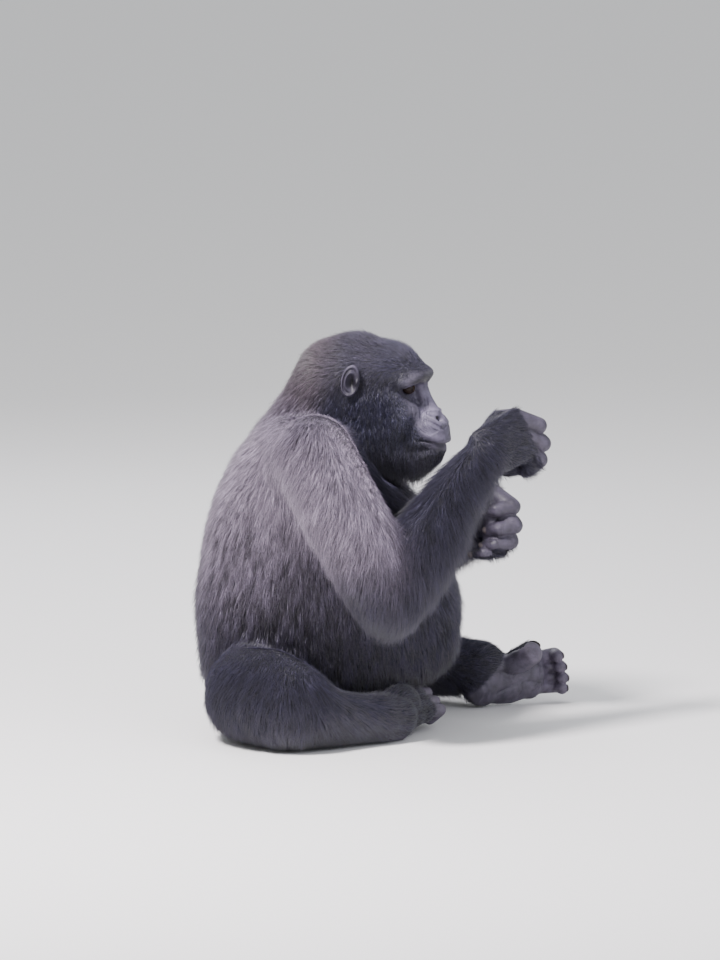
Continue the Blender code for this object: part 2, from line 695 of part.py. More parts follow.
def build():
    coat = make_material("coat_black", COAT_BLACK, 0.75)
    back = make_material("coat_back", COAT_BACK, 0.70)
    skin = make_material("bare_skin", SKIN_GREY, 0.60)
    eye = make_material("eye", EYE_BROWN, 0.12)

    body = make_upper_body(model)
    grown_body = swollen(body, GAP)
    nodes = part_leg("left", LEFT_THIGH, LEFT_SHANK, left_foot_frame, LEFT_KNEE_CUT, grown_body)
    nodes.update(
        part_leg("right", RIGHT_THIGH, RIGHT_SHANK, right_foot_frame, RIGHT_KNEE_CUT, grown_body)
    )
    ears = [make_ear("ear_left", 1, grown_body, model), make_ear("ear_right", -1, grown_body, model)]
    eyes = [make_eye("eye_left", 1, model), make_eye("eye_right", -1, model)]

    tools = []
    for side in (-1, 1):
        top = Vector((SHOULDER_CUT_TOP[0], side * SHOULDER_CUT_TOP[1], SHOULDER_CUT_TOP[2]))
        bottom = Vector((SHOULDER_CUT_BOTTOM[0], side * SHOULDER_CUT_BOTTOM[1], SHOULDER_CUT_BOTTOM[2]))
        rise = top - bottom
        normal = (0.0, side * rise.z, abs(rise.y))
        middle = (top + bottom) / 2
        tools.append(slab("shoulder_cut", middle, normal, SHOULDER_CUT_WIDTH, rise.length, rise))
    seeds = {
        "middle": Vector((0.0, 0.0, 0.40)),
        "arm_right": Vector((0.17, -0.25, 0.44)),
        "arm_left": Vector((0.17, 0.20, 0.42)),
    }
    found = part_by(body, tools, seeds, model)
    nodes.update(
        part_arm(found["arm_right"], "right", RIGHT_ARM, RIGHT_FOREARM, right_hand_frame)
    )
    nodes.update(part_arm(found["arm_left"], "left", LEFT_ARM, LEFT_FOREARM, left_hand_frame))

    nape = Vector(NAPE)
    throat = Vector(THROAT)
    along = throat - nape
    normal = Vector((-along.z, 0, along.x))
    right, left = HEAD_CUT_SIDES
    middle = (nape + throat) / 2
    middle.y = (right + left) / 2
    tools = [slab("head_cut", middle, normal, left - right + GAP, along.length, -along)]
    for y in HEAD_CUT_SIDES:
        place = middle + normal.normalized() * (HEAD_CUT_CHEEK / 2 - GAP)
        place.y = y
        tools.append(slab("cheek_cut", place, (0, 1, 0), HEAD_CUT_CHEEK, along.length, -along))
    found = part_by(found["middle"], tools, {"head": HEAD_REGION, "torso": (0, 0, 0.3)}, model)
    head = found["head"]
    cut(head, socket_cutter("socket_left", 1))
    cut(head, socket_cutter("socket_right", -1))
    neck = part_neck(found["torso"])
    tool = slab("waist_cut", (0, 0, WAIST_HEIGHT), (0, 0, 1), 0.80, 0.80, up=(1, 0, 0))
    seeds = {"chest": Vector((-0.03, 0, 0.48)), "belly": Vector((0, 0, 0.17))}
    nodes.update(part_by(found["torso"], [tool], seeds, model))
    nodes["head"] = head
    nodes["neck"] = neck

    everything = [*nodes.values(), *ears, *eyes]
    for obj in everything:
        obj.data.materials.clear()
        if obj in eyes:
            obj.data.materials.append(eye)
        elif obj in ears or obj.name.startswith(("hand", "foot")):
            obj.data.materials.append(skin)
        elif obj.name in ("chest", "upper_arm_right", "upper_arm_left"):
            obj.data.materials.append(back)
        else:
            obj.data.materials.append(coat)
    rest_on_origin(everything)


def rest_on_origin(objects):
    """Moves the model so that the origin is under the middle of its box, on the floor."""
    corners = [v.co for obj in objects for v in obj.data.vertices]
    middle_x = (min(c.x for c in corners) + max(c.x for c in corners)) / 2
    middle_y = (min(c.y for c in corners) + max(c.y for c in corners)) / 2
    move = Matrix.Translation((-middle_x, -middle_y, -min(c.z for c in corners)))
    for obj in objects:
        obj.data.transform(move)
        obj.data.update()


clear_scene()
BALL = ball_template(28, 18)
model = make_collection("gorilla")
cutters = make_collection("cutters", shown=False)
if __name__ == "__main__":
    build()
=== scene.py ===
import math
import time

import bmesh
import bpy
import numpy as np
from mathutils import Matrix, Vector
from mathutils.bvhtree import BVHTree


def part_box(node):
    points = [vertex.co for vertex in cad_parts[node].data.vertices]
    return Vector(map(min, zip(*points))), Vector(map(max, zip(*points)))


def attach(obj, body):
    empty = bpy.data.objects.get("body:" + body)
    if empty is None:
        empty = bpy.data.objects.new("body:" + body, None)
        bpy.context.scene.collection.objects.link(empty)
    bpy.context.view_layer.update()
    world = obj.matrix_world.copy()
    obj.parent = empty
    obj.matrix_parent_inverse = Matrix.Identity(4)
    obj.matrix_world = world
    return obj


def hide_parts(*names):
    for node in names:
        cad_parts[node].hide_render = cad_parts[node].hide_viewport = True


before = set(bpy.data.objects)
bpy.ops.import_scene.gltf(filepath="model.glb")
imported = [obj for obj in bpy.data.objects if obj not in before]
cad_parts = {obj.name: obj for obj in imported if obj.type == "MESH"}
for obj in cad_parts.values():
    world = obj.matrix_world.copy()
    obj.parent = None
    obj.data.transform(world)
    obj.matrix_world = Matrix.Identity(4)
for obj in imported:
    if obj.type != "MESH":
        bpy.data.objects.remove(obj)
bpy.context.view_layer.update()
started = time.time()
sceneRoot = bpy.context.scene.collection


def report(text):
    print("%5.1f s  %s" % (time.time() - started, text))


def unit(vector):
    vector = np.asarray(vector, float)
    return vector / np.maximum(np.linalg.norm(vector, axis=-1, keepdims=True), 1e-9)


def middleOf(node):
    low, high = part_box(node)
    return (np.array(low) + np.array(high)) / 2


# the head's own axes come from the two eyes: x forward, y to the animal's left, z up
headSettings = {"eyeSpot": (0.1215, 0.034, 0.027)}  # the left eye, in those axes
eyeCentre = {side: middleOf("eye_" + side) for side in ("left", "right")}
headLeft = unit(eyeCentre["left"] - eyeCentre["right"])
headAxes = np.array([np.cross(headLeft, (0, 0, 1)), headLeft, (0, 0, 1)])
headOrigin = (eyeCentre["left"] + eyeCentre["right"]) / 2
headOrigin = headOrigin - headAxes.T @ (np.array(headSettings["eyeSpot"]) * (1, 0, 1))


def intoHead(points):
    return (np.asarray(points) - headOrigin) @ headAxes.T


def fromHead(points):
    return np.asarray(points) @ headAxes + headOrigin


# meshes as arrays
def readAll(items, field, wide, kind=float):
    flat = np.empty(len(items) * wide, kind)
    items.foreach_get(field, flat)
    return flat.reshape(-1, wide)


def vertsOf(mesh):
    return readAll(mesh.vertices, "co", 3)


def normalsOf(mesh):
    return readAll(mesh.vertex_normals, "vector", 3)


def edgesOf(mesh):
    return readAll(mesh.edges, "vertices", 2, np.int64)


def setVerts(mesh, points):
    mesh.vertices.foreach_set("co", np.ascontiguousarray(points, np.float32).ravel())
    mesh.update()


def setAttribute(mesh, name, kind, values):
    layer = mesh.attributes.new(name, kind, "POINT")
    field = {"FLOAT": "value", "FLOAT_VECTOR": "vector", "FLOAT_COLOR": "color"}[kind]
    layer.data.foreach_set(field, np.ascontiguousarray(values, np.float32).ravel())


def spread(values, edges, rounds, share=0.5):
    # each round moves every value towards the mean of its neighbours
    values = np.array(values, float)
    count = np.maximum(np.bincount(edges.ravel(), minlength=len(values)), 1)
    a, b = edges[:, 0], edges[:, 1]
    for _ in range(rounds):
        for k in range(values.shape[1]):
            column = values[:, k]
            total = np.bincount(a, column[b], len(column)) + np.bincount(b, column[a], len(column))
            values[:, k] = column + share * (total / count - column)
    return values


def smoothstep(low, high, x):
    t = np.clip((np.asarray(x, float) - low) / (high - low), 0, 1)
    return t * t * (3 - 2 * t)


def bell(x, centre, width):
    return np.exp(-((x - centre) / width) ** 2)


def blob(points, centre, radii, core=0.55):
    # 1 in the core of an ellipsoid, falling smoothly to 0 at its surface
    d = np.linalg.norm((points - np.array(centre)) / np.array(radii), axis=1)
    return 1 - smoothstep(core, 1.0, d)


def addObject(name, mesh):
    obj = bpy.data.objects.new(name, mesh)
    sceneRoot.objects.link(obj)
    return obj


def smoothFaces(mesh):
    for polygon in mesh.polygons:
        polygon.use_smooth = True


def meshFrom(made, name):
    # a mesh with smooth faces, from a bmesh that isn't needed any more
    mesh = bpy.data.meshes.new(name)
    made.to_mesh(mesh)
    made.free()
    smoothFaces(mesh)
    return mesh


def settle(obj):
    # leaves the evaluated shape as a plain mesh, with no modifiers
    graph = bpy.context.evaluated_depsgraph_get()
    obj.update_tag()
    bpy.context.view_layer.update()
    mesh = bpy.data.meshes.new_from_object(obj.evaluated_get(graph), depsgraph=graph)
    old = obj.data
    obj.modifiers.clear()
    obj.data = mesh
    if old.users == 0:
        bpy.data.meshes.remove(old)


# the flesh, gathered as one set of points and faces
skinSettings = {
    "weld": 0.00001,
    "overlap": 0.0007,  # the parts grow by this much, so that they join
    "voxel": 0.0030, "quickVoxel": 1.4,
    "limbFade": (0.003, 0.016),  # smoothed less this near to a hand, foot or ear
    "bodyRounds": 34, "bodyShare": 0.55, "fineRounds": 4, "fineShare": 0.5,
    "bodyFrom": 0.7, "bodyTriangles": 34000, "limbReach": 0.010, "limbTriangles": 26000, "thinFactor": 10.0,
    "refineReach": 0.002, "refineFrom": {"hand": 0.070, "foot": 0.010},  # finer from here to the tips
    "faceRounds": 5, "faceShare": 0.5,
    "ownerRounds": 8,  # how gently one part's skin and coat pass into the next
}
# parts of the head, each as a middle and three radii in the head's own axes
faceAreas = {
    "unsmoothed": ((0.130, 0, -0.02), (0.085, 0.082, 0.115)),
    "refined": ((0.132, 0, -0.02), (0.088, 0.075, 0.108)),
    "softened": ((0.132, 0, -0.02), (0.092, 0.080, 0.112)),
    "formed": ((0.132, 0, -0.02), (0.10, 0.085, 0.12)),
}
clayPoints, clayFaces, clayOwner = [], [], []
fleshNodes = [n for n in sorted(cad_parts) if not n.startswith("eye")]
for nodeIndex, nodeName in enumerate(fleshNodes):
    part = bmesh.new()
    part.from_mesh(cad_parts[nodeName].data)
    bmesh.ops.remove_doubles(part, verts=part.verts, dist=skinSettings["weld"])
    part.normal_update()
    part.verts.index_update()
    start = len(clayPoints)
    clayPoints += [tuple(v.co + v.normal * skinSettings["overlap"]) for v in part.verts]
    clayFaces += [tuple(v.index + start for v in f.verts) for f in part.faces]
    clayOwner += [nodeIndex] * len(part.faces)
    part.free()

clayMesh = bpy.data.meshes.new("clay")
clayMesh.from_pydata(clayPoints, [], clayFaces)
ownerTree = BVHTree.FromPolygons(clayPoints, clayFaces)
skin = addObject("gorilla_skin", clayMesh)
remesh = skin.modifiers.new("OneSkin", "REMESH")
remesh.mode = "VOXEL"
remesh.voxel_size = skinSettings["voxel"] * 1
settle(skin)
report("one skin: %d points" % len(skin.data.vertices))

# hands and feet have their own axes: where they start, forward, across, and which way round the third turns,
# so that it points out of the back of a hand and out of a sole
extremities = {
    "hand_right": ((0.2067, -0.1532, 0.568), (0.85, 0.31, 0.41), (-0.485, -0.266, 0.833), 1),
    "hand_left": ((0.1797, 0.1228, 0.397), (0.60, -0.72, 0.25), (-0.20, 0.15, 0.95), -1),
    "foot_left": ((0.1827, 0.1648, -0.002), (0.888, 0.459, 0.02), (0.0, 0.0, 1.0), 1),
    "foot_right": ((0.0007, -0.2432, -0.002), (0.50, 0.86, -0.02), (-0.62, 0.32, 0.72), -1),
}
earNames = ("ear_left", "ear_right")


def kindOf(node):
    return node.replace("_left", "").replace("_right", "")


def intoExtremity(name, points):
    place, forward, across, side = extremities[name]
    forward = unit(forward)
    across = np.array(across)
    across = unit(across - forward * (across @ forward))
    axes = np.array([forward, across, np.cross(forward, across) * side])
    return (points - place) @ axes.T, axes


def outsideOf(nodeName, points):
    low, high = (np.array(c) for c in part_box(nodeName))
    return np.linalg.norm(np.maximum(np.maximum(low - points, points - high), 0), axis=1)


# the surface stays fine at the face, hands, feet and ears, and is smoothed most elsewhere
points = vertsOf(skin.data)
faceZone = blob(intoHead(points), *faceAreas["unsmoothed"])
limbZone = np.zeros(len(points))
for nodeName in (*extremities, *earNames):
    limbZone = np.maximum(limbZone, 1 - smoothstep(*skinSettings["limbFade"], outsideOf(nodeName, points)))
rough = 1 - np.maximum(faceZone, limbZone)
edges = edgesOf(skin.data)
points = spread(points, edges, skinSettings["bodyRounds"], skinSettings["bodyShare"] * rough)
points = spread(points, edges, skinSettings["fineRounds"], skinSettings["fineShare"])
setVerts(skin.data, points)
report("smoothed")


def thinOut(obj, inside, triangles):
    # leaves about so many triangles where inside is true, and all of them elsewhere
    group = obj.vertex_groups.new(name="thin")
    group.add(np.where(inside)[0].tolist(), 1.0, "REPLACE")
    obj.data.calc_loop_triangles()
    corners = readAll(obj.data.loop_triangles, "vertices", 3, np.int64)
    here = inside[corners].all(axis=1).sum()
    thin = obj.modifiers.new("Thin", "DECIMATE")
    thin.ratio = (len(corners) - here + triangles) / len(corners)
    thin.vertex_group = group.name
    thin.vertex_group_factor = skinSettings["thinFactor"]
    settle(obj)
    obj.vertex_groups.clear()


thinOut(skin, rough > skinSettings["bodyFrom"], skinSettings["bodyTriangles"])
report("body thinned to %d points" % len(skin.data.vertices))
points = vertsOf(skin.data)
limbZone = np.zeros(len(points), bool)
for nodeName in extremities:
    limbZone |= outsideOf(nodeName, points) < skinSettings["limbReach"]
thinOut(skin, limbZone, skinSettings["limbTriangles"])
report("hands and feet thinned to %d points" % len(skin.data.vertices))


def refine(obj, inside):
    made = bmesh.new()
    made.from_mesh(obj.data)
    made.verts.ensure_lookup_table()
    chosen = [e for e in made.edges if inside[e.verts[0].index] and inside[e.verts[1].index]]
    bmesh.ops.subdivide_edges(made, edges=chosen, cuts=1, use_grid_fill=True)
    bmesh.ops.triangulate(made, faces=[f for f in made.faces if len(f.verts) > 3])
    made.to_mesh(obj.data)
    made.free()


# the face, ears, fingers and toes get points twice as close, and then their forms
points = vertsOf(skin.data)
nearFine = blob(intoHead(points), *faceAreas["refined"]) > 0
for nodeName in earNames:
    nearFine |= outsideOf(nodeName, points) < skinSettings["refineReach"]
for nodeName in extremities:
    local = intoExtremity(nodeName, points)[0]
    fromTips = local[:, 0] > skinSettings["refineFrom"][kindOf(nodeName)]
    nearFine |= (outsideOf(nodeName, points) < skinSettings["refineReach"]) & fromTips
refine(skin, nearFine)
points = vertsOf(skin.data)
edges = edgesOf(skin.data)
onFace = blob(intoHead(points), *faceAreas["softened"]) > 0
points = spread(points, edges, skinSettings["faceRounds"], skinSettings["faceShare"] * onFace)
setVerts(skin.data, points)
owners = np.array([clayOwner[ownerTree.find_nearest(point)[2]] for point in points])
ofHead = owners == fleshNodes.index("head")
headFaces = [tuple(p.vertices) for p in skin.data.polygons if ofHead[p.vertices[0]]]
report("face refined: %d points" % len(points))


def faceSpot(tree, view, sign, across, up):
    # the place on the face that is seen at these measures from the front, or from the side
    start, missed = faceSettings["sightFrom"][view]
    if view == "front":
        start, way, missed = (start, sign * across, up), (-1, 0, 0), (missed, sign * across, up)
    else:
        start, way, missed = (across, start * sign, up), (0, -sign, 0), (across, missed * sign, up)
    hit = tree.ray_cast(Vector(start), Vector(way))[0]
    return np.array(hit if hit is not None else missed)


def distanceToPath(points, path):
    best = np.full(len(points), 1.0)
    for a, b in zip(path[:-1], path[1:]):
        along = b - a
        t = np.clip(((points - a) @ along) / max(along @ along, 1e-12), 0, 1)
        best = np.minimum(best, np.linalg.norm(points - a - t[:, None] * along, axis=1))
    return best


def rounded(path, steps=6):
    # a smooth line through the given points
    path = [np.array(p, float) for p in path]
    full = [2 * path[0] - path[1], *path, 2 * path[-1] - path[-2]]
    line = []
    for a, b, c, d in zip(full[:-3], full[1:-2], full[2:-1], full[3:]):
        for t in np.arange(steps) / steps:
            line.append(0.5 * (2 * b + (c - a) * t + (2 * a - 5 * b + 4 * c - d) * t * t
                               + (3 * b - a - 3 * c + d) * t ** 3))
    return line + [path[-1]]


# masses first, then folds: (view, path, radius, push), on both sides of the face
nostril = (0.178, 0.0185, -0.034)
faceForms = [
    ("front", [(0.060, 0.032), (0.046, 0.046), (0.026, 0.052), (0.006, 0.050)], 0.0085, 0.0026),
    ("front", [(0.058, 0.016), (0.052, 0.004), (0.038, -0.004), (0.022, 0.000)], 0.0075, 0.0022),
    ("front", [(0.014, 0.030), (0.013, 0.004), (0.018, -0.014), (0.030, -0.024)], 0.0060, -0.0022),
    ("front", [(0.009, -0.020), (0.018, -0.019), (0.027, -0.026), (0.030, -0.036), (0.025, -0.046)],
     0.0046, 0.0034),
    ("front", [(0.0, -0.026), (0.0, -0.040)], 0.0050, 0.0012),
    ("front", [(0.0, -0.078), (0.016, -0.078), (0.030, -0.074), (0.040, -0.068)], 0.0065, 0.0014),
    ("front", [(0.0, -0.098), (0.014, -0.098), (0.026, -0.094), (0.036, -0.088)], 0.0065, 0.0022),
]
faceFolds = [
    ("front", [(0.0, -0.0870), (0.014, -0.0875), (0.026, -0.0860), (0.036, -0.0815), (0.043, -0.0760)],
     0.0022, -0.0058),
    ("front", [(0.0, -0.048), (0.0, -0.074)], 0.0022, -0.0011),
    ("front", [(0.0165, -0.034), (0.0205, -0.033)], 0.0056, -0.0135),
    ("front", [(0.006, -0.028), (0.0055, -0.040)], 0.0022, -0.0012),
    ("front", [(0.012, -0.050), (0.024, -0.053), (0.034, -0.044), (0.036, -0.030), (0.031, -0.016)],
     0.0023, -0.0026),
    ("front", [(0.009, 0.032), (0.0105, 0.046)], 0.0019, -0.0012),
    ("front", [(0.0, 0.035), (0.009, 0.0335)], 0.0017, -0.0012),
    ("front", [(0.0, 0.028), (0.010, 0.0265)], 0.0016, -0.0010),
]
# rows of like folds on the cheek, under the eye and on the brow: view, how many, how far apart, the first
# path with each place's share of the shift, radius, push and what each later fold adds to it
foldRows = (
    ("side", 5, 0.0048, ((0.152, 0.006, -1, -0.8), (0.155, -0.014, -1, -0.7), (0.160, -0.036, -0.9, -0.6),
                         (0.168, -0.050, -0.8, -0.4), (0.180, -0.058, -0.6, -0.3)), 0.0018, -0.0020, 0.0001),
    ("front", 3, 0.0042, ((0.016, 0.014, -0.2, -1), (0.026, 0.0075, 0, -1.1), (0.040, 0.006, 0, -1.2),
                          (0.053, 0.014, 0.3, -1)), 0.0015, -0.0013, 0),
    ("front", 3, 0.0042, ((0.014, 0.0405, 0, 1), (0.032, 0.0450, 0, 1), (0.050, 0.0395, 0, 1)),
     0.0015, -0.0012, 0),
)
for view, count, apart, first, radius, amount, more in foldRows:
    for step in range(count):
        shift = apart * step
        path = [(a + shift * turn, z + shift * rise) for a, z, turn, rise in first]
        faceFolds.append((view, path, radius, amount + more * step))
faceSettings = {
    # how far out a line of sight starts, and how far out a place counts as lying if nothing is met
    "sightFrom": {"front": (0.4, 0.1), "side": (0.3, 0.05)},
    "otherSide": 0.003,  # a form fades this far over the middle of the face
    "narrow": 0.003,  # where folds narrower than this meet, the deeper one counts
    "formShare": 0.4,
    "eyeRadius": 0.0125, "lidRadius": 0.0139, "behindLid": 0.0102,
    "gazeTurn": 8.0,  # each eye looks outwards by so many degrees
    "openWide": 50.0, "openUp": 17.0, "openDown": 19.0, "lidSlope": -5.0, "corner": 1.2, "shut": -20.0,
    "lidRim": (0.0010, -5, 5.0), "lidGroove": (0.0011, -19, 4.5), "lidEdge": (-3.5, 4.5),
    "lidReach": 0.026, "lidFront": -0.1, "lidFade": (0.0150, 0.0235), "lidIn": (-8.0, 0.0),
    "besideEye": 0.004, "besideFade": (0.55, 0.1),
}


def shapeFace(mesh, forms):
    points = vertsOf(mesh)
    normals = normalsOf(mesh)
    h = intoHead(points)
    tree = BVHTree.FromPolygons([tuple(p) for p in h], headFaces)
    close = np.where(blob(h, *faceAreas["formed"]) > 0)[0]
    push = np.zeros(len(close))
    for view, path, radius, amount in forms:
        onMiddle = view == "front" and not any(p[0] for p in path)
        for sign in (-1,) if onMiddle else (-1, 1):
            line = [faceSpot(tree, view, sign, *p) for p in path]
            effect = amount * bell(distanceToPath(h[close], rounded(line)), 0.0, radius)
            if not onMiddle:
                y = h[close, 1]
                effect = effect * np.where(np.sign(y) == sign, 1.0, bell(y, 0.0, faceSettings["otherSide"]))
            deeper = np.where(np.abs(effect) > np.abs(push), effect, push)
            push = deeper if radius < faceSettings["narrow"] else push + effect
    points[close] += normals[close] * push[:, None]
    setVerts(mesh, points)


def gazeAxes(side):
    sign = 1 if side == "left" else -1
    turn = math.radians(faceSettings["gazeTurn"]) * sign
    forward = np.array((math.cos(turn), math.sin(turn), 0.0))
    return forward, np.array((-math.sin(turn), math.cos(turn), 0.0)) * sign, np.array((0, 0, 1.0))


def shapeLids(mesh):
    given = faceSettings
    h = intoHead(vertsOf(mesh))
    for side in ("left", "right"):
        forward, outward, up = gazeAxes(side)
        q = h - intoHead(eyeCentre[side])
        r = np.linalg.norm(q, axis=1)
        ahead = (q @ forward) / np.maximum(r, 1e-6)
        near = np.where((r < given["lidReach"]) & (ahead > given["lidFront"]))[0]
        q, r, ahead = q[near], r[near], ahead[near]
        across = np.degrees(np.arctan2(q @ outward, np.maximum(q @ forward, 1e-5)))
        lift = np.degrees(np.arctan2(q @ up, np.maximum(q @ forward, 1e-5)))
        lift = lift - given["lidSlope"] * across / given["openWide"]
        t = np.clip(across / given["openWide"], -1, 1)
        edge = np.sqrt(1 - t * t) ** given["corner"]
        room = np.where(lift > 0, given["openUp"], given["openDown"]) * edge
        gap = room - np.abs(lift)  # in degrees, over 0 inside the opening
        gap = np.where(np.abs(across) < given["openWide"], gap, given["shut"])
        rim, groove = given["lidRim"], given["lidGroove"]
        lid = given["lidRadius"] + rim[0] * bell(gap, *rim[1:])
        lid = lid - groove[0] * bell(gap, *groove[1:])
        wanted = lid + (given["behindLid"] - lid) * smoothstep(*given["lidEdge"], gap)
        beside = given["besideEye"] * smoothstep(*given["besideFade"], ahead)
        hold = 1 - smoothstep(*given["lidFade"], r + beside)
        hold = np.maximum(hold, smoothstep(*given["lidIn"], gap))
        new = r + (wanted - r) * hold
        h[near] = h[near] + q / np.maximum(r, 1e-6)[:, None] * (new - r)[:, None]
    setVerts(mesh, fromHead(h))


shapeFace(skin.data, faceForms)
shapeLids(skin.data)
points = spread(vertsOf(skin.data), edges, 1, faceSettings["formShare"] * onFace)
setVerts(skin.data, points)
shapeFace(skin.data, faceFolds)
report("face shaped")


# ears: a rolled rim, a second ridge inside it, and a hollow
earSettings = {
    "reach": 0.002, "facing": (0.0, 0.4),
    "behind": (0.35, -0.25, 0.55),  # where the inner rings run, and how far they lean forward above
    # each ring: how far it stands out, its radius as a share of the ear's, and its width
    "rim": (0.0026, 0.86, 0.10), "innerRings": ((-0.0026, 0.68, 0.085), (0.0030, 0.50, 0.10)),
    "rimGap": ((0.9, 0.35), (-0.1, 0.30)),
    # each spot: how far it stands out, its place on the ear and its width
    "spots": ((-0.0065, 0.18, -0.10, 0.30), (0.0050, 0.62, -0.02, 0.20), (0.0016, -0.05, -0.80, 0.25)),
    "sink": 0.0120, "sinkFade": (0.1, 0.7),
    # the ear's tone: painted highlight on the rim and the inner ridge, painted shade in the hollow
    "tinted": (0.3, 0.7), "paleRim": (0.9, 0.92, 0.055), "paleRing": (0.4, 0.50, 0.08, 0.2),
    "hollow": (0.18, -0.10, 0.33),
}


def earFrame(name):
    own = vertsOf(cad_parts[name].data)
    values, vectors = np.linalg.eigh(np.cov((own - own.mean(axis=0)).T))
    sign = 1 if name.endswith("left") else -1
    outward = vectors[:, 0] * np.sign(vectors[1, 0] * sign)
    up = vectors[:, 2] * np.sign(vectors[2, 2])
    front = vectors[:, 1] * np.sign(vectors[:, 1] @ headAxes[0])
    axes = np.array([front, up, outward])
    low, high = (own @ axes.T).min(axis=0), (own @ axes.T).max(axis=0)
    return axes, low / 2 + high / 2, (high - low) / 2


def earPlace(name, points):
    # on the ear's own plane: forward, up, and how far from the middle, 1 at the rim
    axes, middle, half = earFrame(name)
    q = (points @ axes.T - middle) / half
    return q[:, 0], q[:, 1], np.hypot(q[:, 0], q[:, 1])


def shapeEar(mesh, name):
    given = earSettings
    points = vertsOf(mesh)
    outward = earFrame(name)[0][2]
    mine = np.where(outsideOf(name, points) < given["reach"])[0]
    a, b, r = earPlace(name, points[mine])
    facing = smoothstep(*given["facing"], normalsOf(mesh)[mine] @ outward)
    low, high, lean = given["behind"]
    behind = smoothstep(low, high, a - lean * np.abs(b) * (b > 0))
    tall, *ring = given["rim"]
    push = tall * bell(r, *ring) * (1 - bell(a, *given["rimGap"][0]) * bell(b, *given["rimGap"][1]))
    for tall, *ring in given["innerRings"]:
        push += tall * bell(r, *ring) * behind
    for tall, forward, up, wide in given["spots"]:
        push += tall * bell(np.hypot(a - forward, b - up), 0.0, wide)
    points[mine] += outward * (push * facing)[:, None]
    setVerts(mesh, points)


for earName in earNames:
    shapeEar(skin.data, earName)

# fingers and toes: each is rounded to its own line, with a cleft between neighbours. A line is the digit's
# radii and the places that it runs through, and the thumb or big toe comes last
fingerRadii, toeRadii = (0.0215, 0.0172, 0.0140, 0.0122), (0.0155, 0.0142, 0.0135)
digitLines = {
    "hand": (
        (fingerRadii, ((0.082, 0.036, 0.0), (0.118, 0.005, 0.012), (0.106, 0.005, -0.020),
                       (0.079, 0.009, -0.023))),
        (fingerRadii, ((0.087, 0.012, 0.0), (0.112, -0.033, 0.012), (0.100, -0.033, -0.020),
                       (0.073, -0.029, -0.023))),
        (fingerRadii, ((0.084, -0.012, 0.0), (0.094, -0.062, 0.008), (0.082, -0.062, -0.024),
                       (0.055, -0.058, -0.027))),
        (fingerRadii, ((0.078, -0.034, 0.0), (0.070, -0.074, -0.004), (0.058, -0.074, -0.036),
                       (0.031, -0.070, -0.039))),
        ((0.021, 0.017, 0.0125), ((0.018, 0.030, -0.014), (0.055, 0.042, -0.034), (0.094, 0.030, -0.046))),
    ),
    "foot": (
        (toeRadii, ((0.172, 0.088, -0.040), (0.206, 0.094, -0.034), (0.200, 0.094, -0.008))),
        (toeRadii, ((0.176, 0.068, -0.040), (0.213, 0.071, -0.034), (0.207, 0.071, -0.008))),
        (toeRadii, ((0.176, 0.048, -0.040), (0.217, 0.048, -0.034), (0.211, 0.048, -0.008))),
        (toeRadii, ((0.168, 0.030, -0.040), (0.215, 0.028, -0.034), (0.209, 0.028, -0.008))),
        ((0.029, 0.0275, 0.0255), ((0.088, 0.076, -0.026), (0.108, 0.095, -0.002), (0.121, 0.110, 0.022))),
    ),
}
digitSettings = {
    "reach": 0.003, "near": (0.008, 0.016), "round": 0.75, "most": 0.0065,
    "cleft": 0.0030, "cleftWidth": 0.0030,
    "begins": {"hand": (0.078, 0.098), "foot": (0.150, 0.196)},
    "littleAside": (-0.036, -0.050), "littleAlong": (0.0, 0.02),  # the little finger begins nearer the wrist
    "bigToe": 4, "bigToeAlong": (0.092, 0.106), "bigToeAside": (0.088, 0.102),
    "skinFold": 0.12, "jointFold": 0.55, "jointWidth": 0.008,
}
soleSettings = {
    # creases across the sole: (forward, up the foot)
    "creases": (
        ((0.060, 0.030), (0.078, 0.038), (0.108, 0.050), (0.140, 0.046), (0.164, 0.045)),
        ((0.158, 0.100), (0.163, 0.080), (0.162, 0.058), (0.150, 0.020)),
        ((0.062, 0.078), (0.090, 0.066), (0.122, 0.070), (0.140, 0.084)),
        ((0.016, 0.066), (0.028, 0.044), (0.024, 0.018)),
        ((0.110, 0.050), (0.118, 0.034), (0.112, 0.014)),
    ),
    "deep": -0.0034, "wide": 0.0030, "facing": (0.1, 0.5), "softened": 0.1, "softShare": 0.35,
}


def digitsOf(name):
    return [(np.array(line), radii) for radii, line in digitLines[kindOf(name)]]


def besideDigit(local, line, radii):
    # distance to the surface of a tapering digit, and how far along it the nearest place lies
    best, along = np.full(len(local), 9.0), np.zeros(len(local))
    walked = 0.0
    for a, b, ra, rb in zip(line[:-1], line[1:], radii[:-1], radii[1:]):
        step = b - a
        long = np.linalg.norm(step)
        t = np.clip((local - a) @ step / long ** 2, 0, 1)
        d = np.linalg.norm(local - a - t[:, None] * step, axis=1) - (ra + (rb - ra) * t)
        nearer = d < best
        best = np.where(nearer, d, best)
        along = np.where(nearer, walked + t * long, along)
        walked += long
    return best, along


